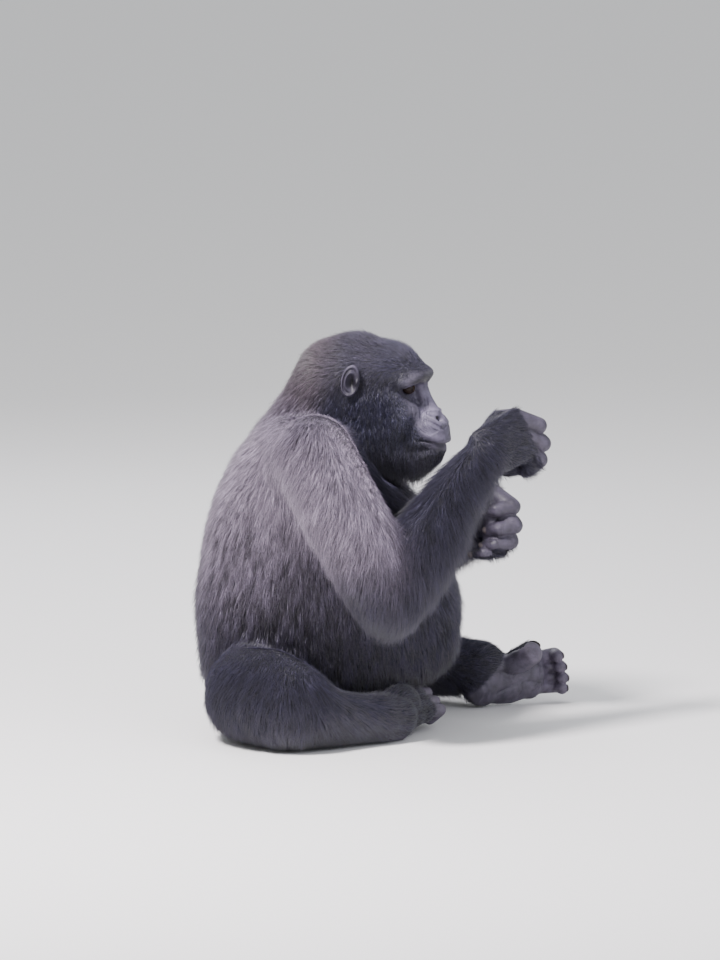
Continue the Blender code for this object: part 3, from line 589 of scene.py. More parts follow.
def shapeDigits(mesh, name):
    # returns the points, how much of a digit each is, how far along it lies and how deep its folds are
    given = digitSettings
    points = vertsOf(mesh)
    mine = np.where(outsideOf(name, points) < given["reach"])[0]
    local = intoExtremity(name, points[mine])[0]
    found = [besideDigit(local, line, radii) for line, radii in digitsOf(name)]
    gaps = np.array([gap for gap, along in found])
    order = np.argsort(gaps, axis=0)
    column = np.arange(len(mine))
    first, second = gaps[order[0], column], gaps[order[1], column]
    onDigit = smoothstep(*given["begins"][kindOf(name)], local[:, 0])
    if name.startswith("hand"):
        early = smoothstep(*given["littleAside"], local[:, 1])
        early = early * smoothstep(*given["littleAlong"], local[:, 0])
    else:
        early = (order[0] == given["bigToe"]) * smoothstep(*given["bigToeAlong"], local[:, 0])
        early = early * smoothstep(*given["bigToeAside"], local[:, 1])
    onDigit = np.maximum(onDigit, early)
    near = 1 - smoothstep(*given["near"], first)
    push = -np.clip(first, -given["most"], given["most"]) * given["round"]
    push -= given["cleft"] * bell(second - first, 0.0, given["cleftWidth"])
    points[mine] = points[mine] + normalsOf(mesh)[mine] * (push * near * onDigit)[:, None]
    setVerts(mesh, points)
    along = np.array([along for gap, along in found])[order[0], column]
    folds = np.full(len(mine), given["skinFold"])
    for k, (line, radii) in enumerate(digitsOf(name)):
        walked = np.cumsum(np.linalg.norm(np.diff(line, axis=0), axis=1))
        for place in walked[:-1]:
            deep = (order[0] == k) * given["jointFold"] * bell(along, place, given["jointWidth"])
            folds = np.maximum(folds, deep)
    return mine, onDigit * near, along, folds


def creaseSole(mesh, name):
    given = soleSettings
    points = vertsOf(mesh)
    normals = normalsOf(mesh)
    mine = np.where(outsideOf(name, points) < digitSettings["reach"])[0]
    local, axes = intoExtremity(name, points[mine])
    sole = smoothstep(*given["facing"], normals[mine] @ axes[2])
    push = np.zeros(len(mine))
    for crease in given["creases"]:
        d = distanceToPath(local[:, :2], rounded(crease))
        push = np.minimum(push, given["deep"] * bell(d, 0.0, given["wide"]))
    points[mine] += normals[mine] * (push * sole)[:, None]
    setVerts(mesh, points)


digitShare, foldAlongDigit, foldAtJoint = np.zeros((3, len(points)))
for nodeName in extremities:
    mine, *found = shapeDigits(skin.data, nodeName)
    digitShare[mine], foldAlongDigit[mine], foldAtJoint[mine] = found
for nodeName in ("foot_left", "foot_right"):
    creaseSole(skin.data, nodeName)
onDigits = digitShare > soleSettings["softened"]
points = spread(vertsOf(skin.data), edges, 1, soleSettings["softShare"] * onDigits)
setVerts(skin.data, points)
report("ears, fingers and toes")

# what each point of the skin belongs to
points = vertsOf(skin.data)
edges = edgesOf(skin.data)
belongs = np.zeros((len(points), len(fleshNodes)))
for pointIndex, point in enumerate(points):
    belongs[pointIndex, clayOwner[ownerTree.find_nearest(point)[2]]] = 1
belongs = spread(belongs, edges, skinSettings["ownerRounds"])
belongs /= belongs.sum(axis=1, keepdims=True)
share = {name: belongs[:, k] for k, name in enumerate(fleshNodes)}
normals = normalsOf(skin.data)
inHead = intoHead(points)

# where the skin is bare; a pair is where it begins to be and where it wholly is, in metres or as a share
bareSettings = {
    # where the bare face begins, seen from the side: (forward, up)
    "faceLine": ((0.235, -0.111), (0.172, -0.100), (0.156, -0.086), (0.139, -0.050), (0.124, -0.010),
                 (0.113, 0.024), (0.121, 0.046), (0.135, 0.060), (0.235, 0.071)),
    "waves": ((0.0016, 310, 1, 90), (0.0012, 780, 0, 410)),  # in that line: depth, then turns along two axes
    "face": (-0.012, 0.016), "roundEye": (0.030, 0.021), "ears": (0.3, 0.7), "limb": (0.4, 0.8),
    "fingers": (0.078, 0.096), "palm": (0.034, 0.060), "palmFacing": (0.40, 0.80),
    "curled": (0.050, 0.064), "curledUnder": (-0.026, -0.037),
    "toes": (0.155, 0.180), "soleFacing": (-0.1, 0.3), "heel": (0.012, -0.004), "heelLine": (0.036, 0.90),
    "bigToe": (0.10, 0.13), "bigToeAside": (0.09, 0.11),
    "chestPatch": ((0.049, -0.02, 0.475), (0.075, 0.105, 0.075)), "chestFrom": 0.4, "headFrom": 0.5,
}


def insideFace(h):
    # distance inside the edge of the bare face, and under 0 outside it
    line = [np.array(p) for p in bareSettings["faceLine"]]
    begins = np.interp(h[:, 2], [p[1] for p in line], [p[0] for p in line])
    wave = np.zeros(len(h))
    for deep, up, axis, turns in bareSettings["waves"]:
        wave += deep * np.sin(h[:, 2] * up + h[:, axis] * turns)
    return distanceToPath(h[:, [0, 2]], line[::-1]) * np.where(h[:, 0] > begins, 1, -1) + wave


def bareLimb(name, local, outward):
    given = bareSettings
    o, a, u = local.T
    if name.startswith("hand"):
        palm = smoothstep(*given["palmFacing"], -outward) * smoothstep(*given["palm"], o)
        curled = smoothstep(*given["curled"], o) * smoothstep(*given["curledUnder"], u)
        return np.maximum(np.maximum(smoothstep(*given["fingers"], o), palm), curled)
    up, slope = given["heelLine"]
    heel = smoothstep(*given["heel"], a - up - slope * o)
    part = np.maximum(smoothstep(*given["toes"], o), smoothstep(*given["soleFacing"], outward) * heel)
    return np.maximum(part, smoothstep(*given["bigToe"], o) * smoothstep(*given["bigToeAside"], a))


folded = np.column_stack([inHead[:, 0], np.abs(inHead[:, 1]), inHead[:, 2]])  # both sides of the face as one
fromEye = np.linalg.norm(folded - np.array(headSettings["eyeSpot"]), axis=1)
inFace = insideFace(inHead)
bare = np.maximum(smoothstep(*bareSettings["face"], inFace), smoothstep(*bareSettings["roundEye"], fromEye))
ears = share["ear_left"] + share["ear_right"]
bare = np.maximum(bare * share["head"], smoothstep(*bareSettings["ears"], ears))
for name in extremities:
    local, axes = intoExtremity(name, points)
    part = bareLimb(name, local, normals @ axes.T[:, 2])
    bare = np.maximum(bare, part * smoothstep(*bareSettings["limb"], share[name]))
covered = 1 - bare
chestPatch = blob(points, *bareSettings["chestPatch"]) * (share["chest"] > bareSettings["chestFrom"])

# the coat's measures, in metres: depth over the skin, length and width of a tuft
coatSettings = {
    "head": (0.0075, 0.021, 0.0018), "neck": (0.010, 0.028, 0.0022),
    "chest": (0.010, 0.030, 0.0024), "belly": (0.014, 0.042, 0.0028),
    "upper_arm": (0.014, 0.046, 0.0026), "forearm": (0.014, 0.060, 0.0025),
    "hand": (0.0040, 0.020, 0.0018), "thigh": (0.014, 0.042, 0.0028),
    "shank": (0.012, 0.036, 0.0026), "foot": (0.0035, 0.018, 0.0018),
    "ear": (0.0006, 0.008, 0.0012),
}
coatChanges = {
    "least": 0.0004, "onChestPatch": 0.6, "byFace": 0.045, "depthByFace": 0.12, "lengthByFace": 0.30,
    "widthByFace": 0.60, "lengthWhereBare": 0.45,
    "wrist": (0.045, 0.085), "wristShorter": 0.45,
    "beard": (-0.020, -0.095), "throatFacing": (0.2, 0.6), "throatFrom": (0.40, 0.46),
    # where the hairs part or meet they are shorter and lie closer, and along a ridge shorter still
    "calmRounds": 30, "calm": (0.50, 0.90), "calmLength": (0.50, 0.50), "calmLift": (0.40, 0.85),
    "beardLength": 1.1, "throatLength": 0.9, "ridgeLength": 0.55,
    "beardLift": 0.7, "throatLift": 1.6, "ridgeLift": 0.75,
}
coatTable = np.array([coatSettings[kindOf(name)] for name in fleshNodes])
coatDepth, coatLength, coatWidth = (belongs @ coatTable).T
fromFace = 1 - share["head"] * (1 - smoothstep(0.0, coatChanges["byFace"], -inFace))
left = coatChanges["depthByFace"]
coatDepth = coatDepth * covered * (1 - coatChanges["onChestPatch"] * chestPatch)
coatDepth = coatDepth * (left + (1 - left) * fromFace) + coatChanges["least"]
left, byFace = coatChanges["lengthWhereBare"], coatChanges["lengthByFace"]
coatLength = coatLength * (left + (1 - left) * covered) * (byFace + (1 - byFace) * fromFace)
left = coatChanges["widthByFace"]
coatWidth = coatWidth * (left + (1 - left) * fromFace)

fromWrist = np.linalg.norm(intoExtremity("hand_right", points)[0], axis=1)
atWrist = 1 - smoothstep(*coatChanges["wrist"], fromWrist)
coatLength = coatLength * (1 - coatChanges["wristShorter"] * atWrist)
beard = share["head"] * covered * smoothstep(*coatChanges["beard"], inHead[:, 2])
throat = share["chest"] * smoothstep(*coatChanges["throatFacing"], normals[:, 0])
throat = throat * smoothstep(*coatChanges["throatFrom"], points[:, 2])

# the lie of the coat: a direction for each part, and finer ones on the head
down = np.array((0, 0, -1.0))
layOf = {
    "neck": (-0.50, 0, -0.9), "chest": (-0.10, 0, -1), "belly": (0.05, 0, -1),
    "upper_arm_right": (-0.16, -0.15, -1), "upper_arm_left": (-0.16, 0.15, -1),
    "forearm_right": (-0.14, -0.05, -1), "forearm_left": (-0.14, 0.10, -1),
    "hand_right": (0.85, 0.25, -0.25), "hand_left": (0.5, -0.6, -0.55),
    "thigh_right": (0.06, -0.30, -0.9), "thigh_left": (0.30, 0.25, -0.9),
    "shank_right": (0.45, 0.20, -0.5), "shank_left": (0.5, -0.1, -0.5),
    "foot_right": (0.5, 0.86, -0.1), "foot_left": (0.888, 0.459, -0.1),
    "ear_right": (-1, 0, 0), "ear_left": (-1, 0, 0),
}
headLays = {
    "crown": (-1, 0.10, 0), "cheek": (0.18, 0.25, -1), "behind": (-0.55, 0, -1),
    "belowCrown": (0.030, 0.075), "behindCheek": (-0.02, 0.05),
}
turnedLays = {
    # on towards the wrist the coat turns this way between two places forward
    "wrists": (("forearm_right", (0.30, 0.05, -0.95), 0.094, 0.194),
               ("forearm_left", (0.50, -0.1, -0.85), 0.084, 0.174)),
    # over the shoulders and the raised knee it runs outwards along the top, then down the side
    "ridges": (("upper_arm_right", (-0.25, -1, 0), 0.47, 0.54), ("upper_arm_left", (-0.25, 1, 0), 0.47, 0.54),
               ("thigh_right", (-0.10, -1, 0), 0.05, 0.12)),
    "ridgeDown": 0.12, "ridgeWidth": (0.60, 0.10), "sideways": (0.0, 0.75),
    "chestBack": 0.19, "chestTop": (0.48, 0.56), "chestDown": 0.15,
    "rounds": 10,
}


def headLay(h):
    mirrored = np.column_stack([np.ones(len(h)), np.sign(h[:, 1]), np.ones(len(h))])
    low = 1 - smoothstep(*headLays["belowCrown"], h[:, 2])[:, None]
    back = 1 - smoothstep(*headLays["behindCheek"], h[:, 0])[:, None]
    side = mirrored * headLays["cheek"] * (1 - back) + mirrored * headLays["behind"] * back
    return unit(mirrored * headLays["crown"] * (1 - low) + side * low)


def alongSkin(flow):
    return flow - normals * (flow * normals).sum(axis=1, keepdims=True)


def outThenDown(flow, part, way, facing, slope):
    # mixes in a lie that runs outwards where the skin faces up, and downwards where it faces out
    sideways = smoothstep(*turnedLays["sideways"], facing)[:, None]
    return flow * (1 - part) + (way * (1 - sideways) + down * (slope + sideways)) * part


flow = belongs @ np.array([unit(layOf[name]) if name in layOf else (0, 0, 0) for name in fleshNodes])
flow += (headLay(inHead) @ headAxes) * share["head"][:, None]
for name, lay, low, high in turnedLays["wrists"]:
    part = (share[name] * smoothstep(low, high, points[:, 0]))[:, None]
    flow = flow * (1 - part) + unit(lay) * part
ridge = np.zeros(len(points))
for name, way, low, high in turnedLays["ridges"]:
    top = smoothstep(low, high, points[:, 2])
    facing = normals @ unit(way)
    flow = outThenDown(flow, (share[name] * top)[:, None], unit(way), facing, turnedLays["ridgeDown"])
    ridge = np.maximum(ridge, share[name] * smoothstep(*turnedLays["ridgeWidth"], facing) * top)
around = unit(np.column_stack([points[:, 0] + turnedLays["chestBack"], points[:, 1], np.zeros(len(points))]))
facing = (normals * around).sum(axis=1)
top = smoothstep(*turnedLays["chestTop"], points[:, 2])
flow = outThenDown(flow, (share["chest"] * top)[:, None], around, facing, turnedLays["chestDown"])
flow = unit(alongSkin(flow))
agreed = np.linalg.norm(spread(flow, edges, coatChanges["calmRounds"]), axis=1)
calm = smoothstep(*coatChanges["calm"], agreed)
flow = unit(alongSkin(spread(flow, edges, turnedLays["rounds"])))
still, more = coatChanges["calmLength"]
longer = 1 + coatChanges["beardLength"] * beard + coatChanges["throatLength"] * throat
coatLength = coatLength * (still + more * calm) * longer * (1 - coatChanges["ridgeLength"] * ridge)
still, more = coatChanges["calmLift"]
higher = 1 + coatChanges["beardLift"] * beard + coatChanges["throatLift"] * throat
coatLift = coatDepth * (still + more * calm) * higher * (1 - coatChanges["ridgeLift"] * ridge)
report("lie of the coat")

# the skin sinks by the coat's depth, and the ears with the head round them
sinkSettings = {"rounds": 3, "fade": 0.004, "share": 0.5, "floorGap": (0.0012, 0.6)}
coatDepth = spread(coatDepth[:, None], edges, sinkSettings["rounds"])[:, 0]
points = points - normals * coatDepth[:, None]
for earName in earNames:
    sunk = earSettings["sink"] * smoothstep(*earSettings["sinkFade"], share[earName])
    points = points - earFrame(earName)[0][2] * sunk[:, None]
settling = smoothstep(0.0, sinkSettings["fade"], coatDepth) * sinkSettings["share"]
points = spread(points, edges, sinkSettings["rounds"], settling)
gap, slope = sinkSettings["floorGap"]
points[:, 2] = np.maximum(points[:, 2], gap + slope * coatDepth)
setVerts(skin.data, points)


# colours, shared by the skin and the coat
coatTones = {
    # the grey is partly the coat's own grey and partly painted sunlight
    "black": (0.030, 0.027, 0.051, 1), "grey": (0.325, 0.272, 0.352, 1), "brown": (0.100, 0.070, 0.086, 1),
    # the crown's paler tone is painted sheen
    "crown": (0.040, 0.035, 0.058, 1), "cheek": (0.046, 0.044, 0.086, 1),
}
skinTones = {
    "face": (0.134, 0.118, 0.174, 1), "furred": (0.010, 0.009, 0.013, 1), "chest": (0.090, 0.054, 0.066, 1),
    # the paler tone of the toes is a painted highlight
    "hand": (0.056, 0.048, 0.072, 1), "foot": (0.066, 0.057, 0.082, 1), "pad": (0.120, 0.100, 0.142, 1),
    # the ear rim's paler tone is a painted highlight, and the dark tone is painted shade
    "ear": (0.024, 0.020, 0.034, 1), "earRim": (0.080, 0.069, 0.104, 1), "dark": (0.012, 0.010, 0.014, 1),
}
tintSettings = {
    # the grey of the back and upper arms, partly the coat's own grey and partly painted sunlight: how the
    # skin faces, how high it lies, and how much darker it stays at the top
    "backFacing": (-0.1, 0.75), "backUp": 0.45, "backAside": 0.25, "bellyShare": 0.45, "back": (0.10, 0.48),
    "arms": (0.33, 0.45), "top": (0.585, 0.645), "topShare": 0.6, "greyRounds": 18,
    "crown": (0.02, 0.09), "forehead": (0.05, 0.10),
    "cheekBelow": (0.04, -0.02), "cheekAbove": (-0.095, -0.055),
    "nape": (0.02, -0.06), "napeFacing": (-0.2, 0.5), "napeShare": 0.7,
    "coatOnSkin": 0.25, "limb": (0.2, 0.8), "padShare": 0.65,
    # shadows on the face: how dark, and where
    "socket": (0.66, (0.128, 0.036, 0.026), (0.030, 0.030, 0.022)),
    "nostril": (0.95, (0.012, 0.0075, 0.0080)), "mouth": (0.55, -0.087, 0.006, 0.13),
    "chin": (0.45, -0.088, -0.100), "brow": (0.88, 0.027, 0.042), "edge": (0.60, 0.030, 0.000),
}


def mixTones(base, other, amount):
    return np.asarray(base) + (np.asarray(other) - base) * np.reshape(amount, (-1, 1))


def tintCoat():
    given = tintSettings
    # painted sunlight: greyer where the coat faces back and up, and on the upper arms, less so along the top
    back = -normals[:, 0] + given["backUp"] * normals[:, 2] + given["backAside"] * np.abs(normals[:, 1])
    back = smoothstep(*given["backFacing"], back)
    back = back * (share["chest"] + share["neck"] + given["bellyShare"] * share["belly"])
    back = back * smoothstep(*given["back"], points[:, 2])
    arms = share["upper_arm_right"] + share["upper_arm_left"]
    arms = arms * smoothstep(*given["arms"], points[:, 2])
    top = given["topShare"] * smoothstep(*given["top"], points[:, 2]) * (1 - share["neck"])
    grey = np.clip(back + arms, 0, 1) * (1 - top)
    grey = spread(grey[:, None], edges, given["greyRounds"])
    tint = mixTones(coatTones["black"], coatTones["grey"], grey)
    # painted sheen: the top of the head is a little paler, fading to black towards the forehead
    crown = share["head"] * smoothstep(*given["crown"], inHead[:, 2])
    tint = mixTones(tint, coatTones["crown"], crown * (1 - smoothstep(*given["forehead"], inHead[:, 0])))
    cheek = share["head"] * smoothstep(*given["cheekBelow"], inHead[:, 2])
    tint = mixTones(tint, coatTones["cheek"], cheek * smoothstep(*given["cheekAbove"], inHead[:, 2]))
    nape = share["neck"] + share["head"] * smoothstep(*given["nape"], inHead[:, 0])
    nape = given["napeShare"] * np.clip(nape, 0, 1)
    return mixTones(tint, coatTones["brown"], nape * smoothstep(*given["napeFacing"], -normals[:, 0]))


def shadeFace():
    given = tintSettings
    socket, nostrils, mouth, chin = given["socket"], given["nostril"], given["mouth"], given["chin"]
    brow, edge = given["brow"], given["edge"]
    shadows = (
        socket[0] * blob(folded, *socket[1:]),
        nostrils[0] * blob(folded, nostril, nostrils[1]),
        mouth[0] * bell(folded[:, 2], *mouth[1:3]) * (folded[:, 0] > mouth[3]),
        chin[0] * smoothstep(*chin[1:], folded[:, 2]),
        brow[0] * smoothstep(*brow[1:], folded[:, 2]),
        edge[0] * smoothstep(*edge[1:], inFace),
    )
    return np.max(shadows, axis=0) * faceBare


def tintEar(tint, name):
    given = earSettings
    a, b, r = earPlace(name, points)
    here = smoothstep(*given["tinted"], share[name])
    # painted highlight on the rim and the inner ridge, painted shade in the hollow
    rim, ring, (forward, up, wide) = given["paleRim"], given["paleRing"], given["hollow"]
    earHighlight = np.maximum(rim[0] * bell(r, *rim[1:]), ring[0] * bell(r, *ring[1:3]) * (a < ring[3]))
    tint = mixTones(tint, skinTones["ear"], here)
    tint = mixTones(tint, skinTones["earRim"], here * earHighlight)
    return mixTones(tint, skinTones["dark"], here * bell(np.hypot(a - forward, b - up), 0.0, wide))


faceBare = bare * (share["head"] > bareSettings["headFrom"])
coatTint = tintCoat()
# under the coat the skin takes a quarter of the coat's tint, its painted sunlight and sheen with it
skinTint = mixTones(skinTones["furred"], coatTint, tintSettings["coatOnSkin"])
skinTint = mixTones(skinTint, skinTones["face"], bare)
for name in extremities:
    onLimb = smoothstep(*tintSettings["limb"], share[name]) * bare
    skinTint = mixTones(skinTint, skinTones[kindOf(name)], onLimb)
# painted highlight: the toes of the feet are paler
toeHighlights = tintSettings["padShare"] * digitShare * bare * (share["foot_left"] + share["foot_right"])
skinTint = mixTones(skinTint, skinTones["pad"], toeHighlights)
skinTint = mixTones(skinTint, skinTones["chest"], chestPatch)
skinTint = mixTones(skinTint, skinTones["dark"], shadeFace())
for earName in earNames:
    skinTint = tintEar(skinTint, earName)

# fine folds: how far apart they lie, where, and how deep they are
foldSettings = {
    "nostril": {"apart": 0.0044, "flatter": (1.0, 0.8, 0.8), "ring": (0.030, 0.013), "deep": 0.75,
                "behind": (-0.002, -0.012), "below": (0.004, -0.012), "above": (-0.078, -0.062),
                "aside": (0.010, 0.020)},
    "eye": {"apart": 0.0030, "ring": (0.021, 0.007), "below": (0.030, 0.018), "deep": 0.7},
    "brow": {"apart": 0.0058, "slant": 0.02, "above": (0.036, 0.046), "deep": 0.30},
    "lips": {"apart": 0.0034, "line": (-0.087, 0.009), "front": 0.14, "deep": 0.25},
    "digit": {"apart": 0.0036},
}


def foldLines():
    # every point belongs to its deepest zone, and the depth fades where zones meet
    o, a, u = folded.T
    nose, eye, brow = foldSettings["nostril"], foldSettings["eye"], foldSettings["brow"]
    lips, digit = foldSettings["lips"], foldSettings["digit"]
    towards = folded - np.array(nostril)
    fromNostril = np.linalg.norm(towards * nose["flatter"], axis=1)
    beside = bell(fromNostril, *nose["ring"]) * smoothstep(*nose["behind"], towards[:, 0])
    beside = beside * smoothstep(*nose["below"], u) * smoothstep(*nose["above"], u)
    beside = beside * smoothstep(*nose["aside"], a)
    under = bell(fromEye, *eye["ring"]) * smoothstep(*eye["below"], u)
    zones = (
        (fromNostril / nose["apart"], beside * nose["deep"] * faceBare),
        (fromEye / eye["apart"], under * eye["deep"] * faceBare),
        (u / brow["apart"] + o / brow["slant"], smoothstep(*brow["above"], u) * faceBare * brow["deep"]),
        (a / lips["apart"], bell(u, *lips["line"]) * (o > lips["front"]) * faceBare * lips["deep"]),
        (foldAlongDigit / digit["apart"], digitShare * bare * foldAtJoint),
    )
    depths = np.array([depth for phase, depth in zones])
    ranked = np.sort(depths, axis=0)
    phases = np.choose(depths.argmax(axis=0), [phase for phase, depth in zones])
    return phases, np.clip(ranked[-1] - ranked[-2], 0, 1)


thickSettings = {"covered": (0.10, 0.75), "onChestPatch": 0.75, "floor": (0.004, 0.030), "atFloor": 0.15}
thick = smoothstep(*thickSettings["covered"], covered) * (1 - thickSettings["onChestPatch"] * chestPatch)
atFloor = thickSettings["atFloor"]
thick *= smoothstep(*thickSettings["floor"], points[:, 2]) * (1 - atFloor) + atFloor
foldPhase, foldDepth = foldLines()
setAttribute(skin.data, "skinTint", "FLOAT_COLOR", skinTint)
setAttribute(skin.data, "furTint", "FLOAT_COLOR", coatTint)
setAttribute(skin.data, "furFlow", "FLOAT_VECTOR", flow)
for name, values in (("foldPhase", foldPhase), ("foldDepth", foldDepth), ("furLength", coatLength),
                     ("furWidth", coatWidth), ("furLift", coatLift), ("furShare", thick)):
    setAttribute(skin.data, name, "FLOAT", values)
smoothFaces(skin.data)
report("skin has %d points" % len(skin.data.vertices))


# materials and node trees
def nodeTools(tree):
    # adds nodes to the tree; each value is a number or the output that feeds the socket
    def add(kind, sockets=None, **settings):
        made = tree.nodes.new(kind)
        for key, value in settings.items():
            setattr(made, key, value)
        for key, value in (sockets or {}).items():
            if isinstance(value, bpy.types.NodeSocket):
                tree.links.new(value, made.inputs[key])
            else:
                made.inputs[key].default_value = value
        return made.outputs

    def maths(operation, *values):
        return add("ShaderNodeMath", dict(enumerate(values)), operation=operation)["Value"]

    def vectors(operation, *values):
        return add("ShaderNodeVectorMath", dict(enumerate(values)), operation=operation)["Vector"]

    def scaled(vector, by):
        return add("ShaderNodeVectorMath", {0: vector, "Scale": by}, operation="SCALE")["Vector"]

    return add, maths, vectors, scaled


def mapped(add, value, low, high, start=0.0, end=1.0):
    # from start to end the value runs from low to high
    sockets = {"Value": value, "From Min": start, "From Max": end, "To Min": low, "To Max": high}
    return add("ShaderNodeMapRange", sockets)["Result"]


def makeMaterial(name, finish, describe):
    # describe adds the nodes and says what feeds the shader; finish holds the shader's plain sockets
    material = bpy.data.materials.new(name)
    material.use_nodes = True
    tree = material.node_tree
    sockets = tree.nodes["Principled BSDF"].inputs
    for key, value in finish.items():
        sockets[key].default_value = value
    if describe:
        add, maths, vectors, scaled = nodeTools(tree)
        where = add("ShaderNodeTexCoord")["Object"]
        for key, value in describe(add, maths, scaled, where).items():
            tree.links.new(value, sockets[key])
    return material


def ramp(outputs, marks):
    # sets a colour ramp's marks, each a place and a colour
    colours = outputs[0].node.color_ramp
    for element, (place, colour) in zip(colours.elements, (marks[0], marks[-1])):
        element.position, element.color = place, (*colour, 1)
    for place, colour in marks[1:-1]:
        colours.elements.new(place).color = (*colour, 1)
    return outputs["Color"]


skinFinish = {"Specular IOR Level": 0.45}
skinGrain = {
    "blotch": {"Scale": 46, "Detail": 6, "Roughness": 0.62}, "blotchShade": (0.48, 1.42, 0.30, 0.70),
    "roughness": (0.42, 0.66),
    "creases": 330, "creaseBump": {"Strength": 0.22, "Distance": 0.0012},
    "pores": {"Scale": 900, "Detail": 3}, "poreBump": {"Strength": 0.25, "Distance": 0.0006},
    "foldBump": {"Strength": 0.8, "Distance": 0.0016}, "foldWander": (130, 1.6), "foldSharp": 0.55,
}


def describeSkin(add, maths, scaled, where):
    given = skinGrain
    tint = add("ShaderNodeAttribute", attribute_name="skinTint")["Color"]
    blotch = add("ShaderNodeTexNoise", {"Vector": where, **given["blotch"]})["Fac"]
    creases = {"Vector": where, "Scale": given["creases"]}
    creases = add("ShaderNodeTexVoronoi", creases, feature="DISTANCE_TO_EDGE")["Distance"]
    pores = add("ShaderNodeTexNoise", {"Vector": where, **given["pores"]})["Fac"]
    phase = add("ShaderNodeAttribute", attribute_name="foldPhase")["Fac"]
    deep = add("ShaderNodeAttribute", attribute_name="foldDepth")["Fac"]
    scale, turn = given["foldWander"]
    wander = add("ShaderNodeTexNoise", {"Vector": where, "Scale": scale})["Fac"]
    wave = maths("SINE", maths("MULTIPLY", maths("MULTIPLY_ADD", wander, turn, phase), math.pi))
    folds = maths("MULTIPLY", maths("POWER", maths("ABSOLUTE", wave), given["foldSharp"]), deep)
    normal = add("ShaderNodeBump", {"Height": folds, **given["foldBump"]})["Normal"]
    normal = add("ShaderNodeBump", {"Height": creases, "Normal": normal, **given["creaseBump"]})["Normal"]
    normal = add("ShaderNodeBump", {"Height": pores, "Normal": normal, **given["poreBump"]})["Normal"]
    return {"Base Color": scaled(tint, mapped(add, blotch, *given["blotchShade"])), "Normal": normal,
            "Roughness": mapped(add, blotch, *given["roughness"])}


coatFinish = {"Roughness": 0.54, "Specular IOR Level": 0.42, "Sheen Weight": 0.12, "Sheen Roughness": 0.4}
coatGrain = {"streak": {"Scale": 420, "Detail": 2}, "shade": (0.72, 1.30)}


def describeCoat(add, maths, scaled, where):
    tint = add("ShaderNodeAttribute", attribute_name="coatTint")["Color"]
    streak = add("ShaderNodeTexNoise", {"Vector": where, **coatGrain["streak"]})["Fac"]
    return {"Base Color": scaled(tint, mapped(add, streak, *coatGrain["shade"]))}


eyeFinish = {"Roughness": 0.30, "Specular IOR Level": 0.05, "Coat Weight": 0.16, "Coat Roughness": 0.03}
eyeGrain = {
    "fibres": 700, "shade": (0.7, 1.3),
    # from the pupil out over the iris to the white, by the angle from the middle
    "rings": ((0.0, (0.002, 0.002, 0.002)), (0.190, (0.003, 0.002, 0.002)), (0.225, (0.020, 0.010, 0.006)),
              (0.400, (0.028, 0.014, 0.008)), (0.500, (0.006, 0.004, 0.003)), (0.58, (0.010, 0.006, 0.006)),
              (0.95, (0.022, 0.014, 0.013))),
}


def describeEye(add, maths, scaled, where):
    ring = add("ShaderNodeAttribute", attribute_name="fromPupil")["Fac"]
    rings = ramp(add("ShaderNodeValToRGB", {"Fac": ring}), eyeGrain["rings"])
    fibres = add("ShaderNodeTexNoise", {"Vector": where, "Scale": eyeGrain["fibres"]})["Fac"]
    return {"Base Color": scaled(rings, mapped(add, fibres, *eyeGrain["shade"]))}


nailFinish = {"Roughness": 0.34}
nailGrain = {
    "grain": {"Scale": 260, "Detail": 4}, "bump": {"Strength": 0.3, "Distance": 0.0005},
    "tones": ((0.0, (0.070, 0.058, 0.060)), (1.0, (0.150, 0.126, 0.128))),
}


def describeNail(add, maths, scaled, where):
    grain = add("ShaderNodeTexNoise", {"Vector": where, **nailGrain["grain"]})["Fac"]
    return {"Base Color": ramp(add("ShaderNodeValToRGB", {"Fac": grain}), nailGrain["tones"]),
            "Normal": add("ShaderNodeBump", {"Height": grain, **nailGrain["bump"]})["Normal"]}


# eyes: each ball's front bulges a little where the iris is
eyeMaterial = makeMaterial("wetEye", eyeFinish, describeEye)
eyeSettings = {"around": 40, "along": 28, "bulge": 0.050, "iris": (0.36, 0.66)}


def unitBall(made, given):
    around, along = given["around"], given["along"]
    return bmesh.ops.create_uvsphere(made, u_segments=around, v_segments=along, radius=1.0)["verts"]


def makeEye(side):
    forward, outward, up = gazeAxes(side)
    made = bmesh.new()
    unitBall(made, eyeSettings)
    mesh = meshFrom(made, "eyeball_" + side)
    ball = vertsOf(mesh)
    angle = np.arccos(np.clip(ball[:, 2], -1, 1))
    bulge = 1 + eyeSettings["bulge"] * (1 - smoothstep(*eyeSettings["iris"], angle))
    ball = ball * (faceSettings["eyeRadius"] * bulge)[:, None]
    placed = ball[:, 2:3] * forward + ball[:, 0:1] * outward + ball[:, 1:2] * up
    setVerts(mesh, fromHead(placed + intoHead(eyeCentre[side])))
    setAttribute(mesh, "fromPupil", "FLOAT", angle)
    if side == "left":
        mesh.flip_normals()
    mesh.materials.append(eyeMaterial)
    eye = addObject("eyeball_" + side, mesh)
    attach(eye, "root")
    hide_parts("eye_" + side)


for side in ("left", "right"):
    makeEye(side)
report("eyes")

# nails: one curved plate on the back of each digit's end
nailMaterial = makeMaterial("darkNail", nailFinish, describeNail)
nailSettings = {"wide": 0.56, "long": 0.60, "thick": 0.0011, "sink": 0.0011, "ahead": 0.24,
                "around": 16, "along": 10, "thumbRadius": 0.02}


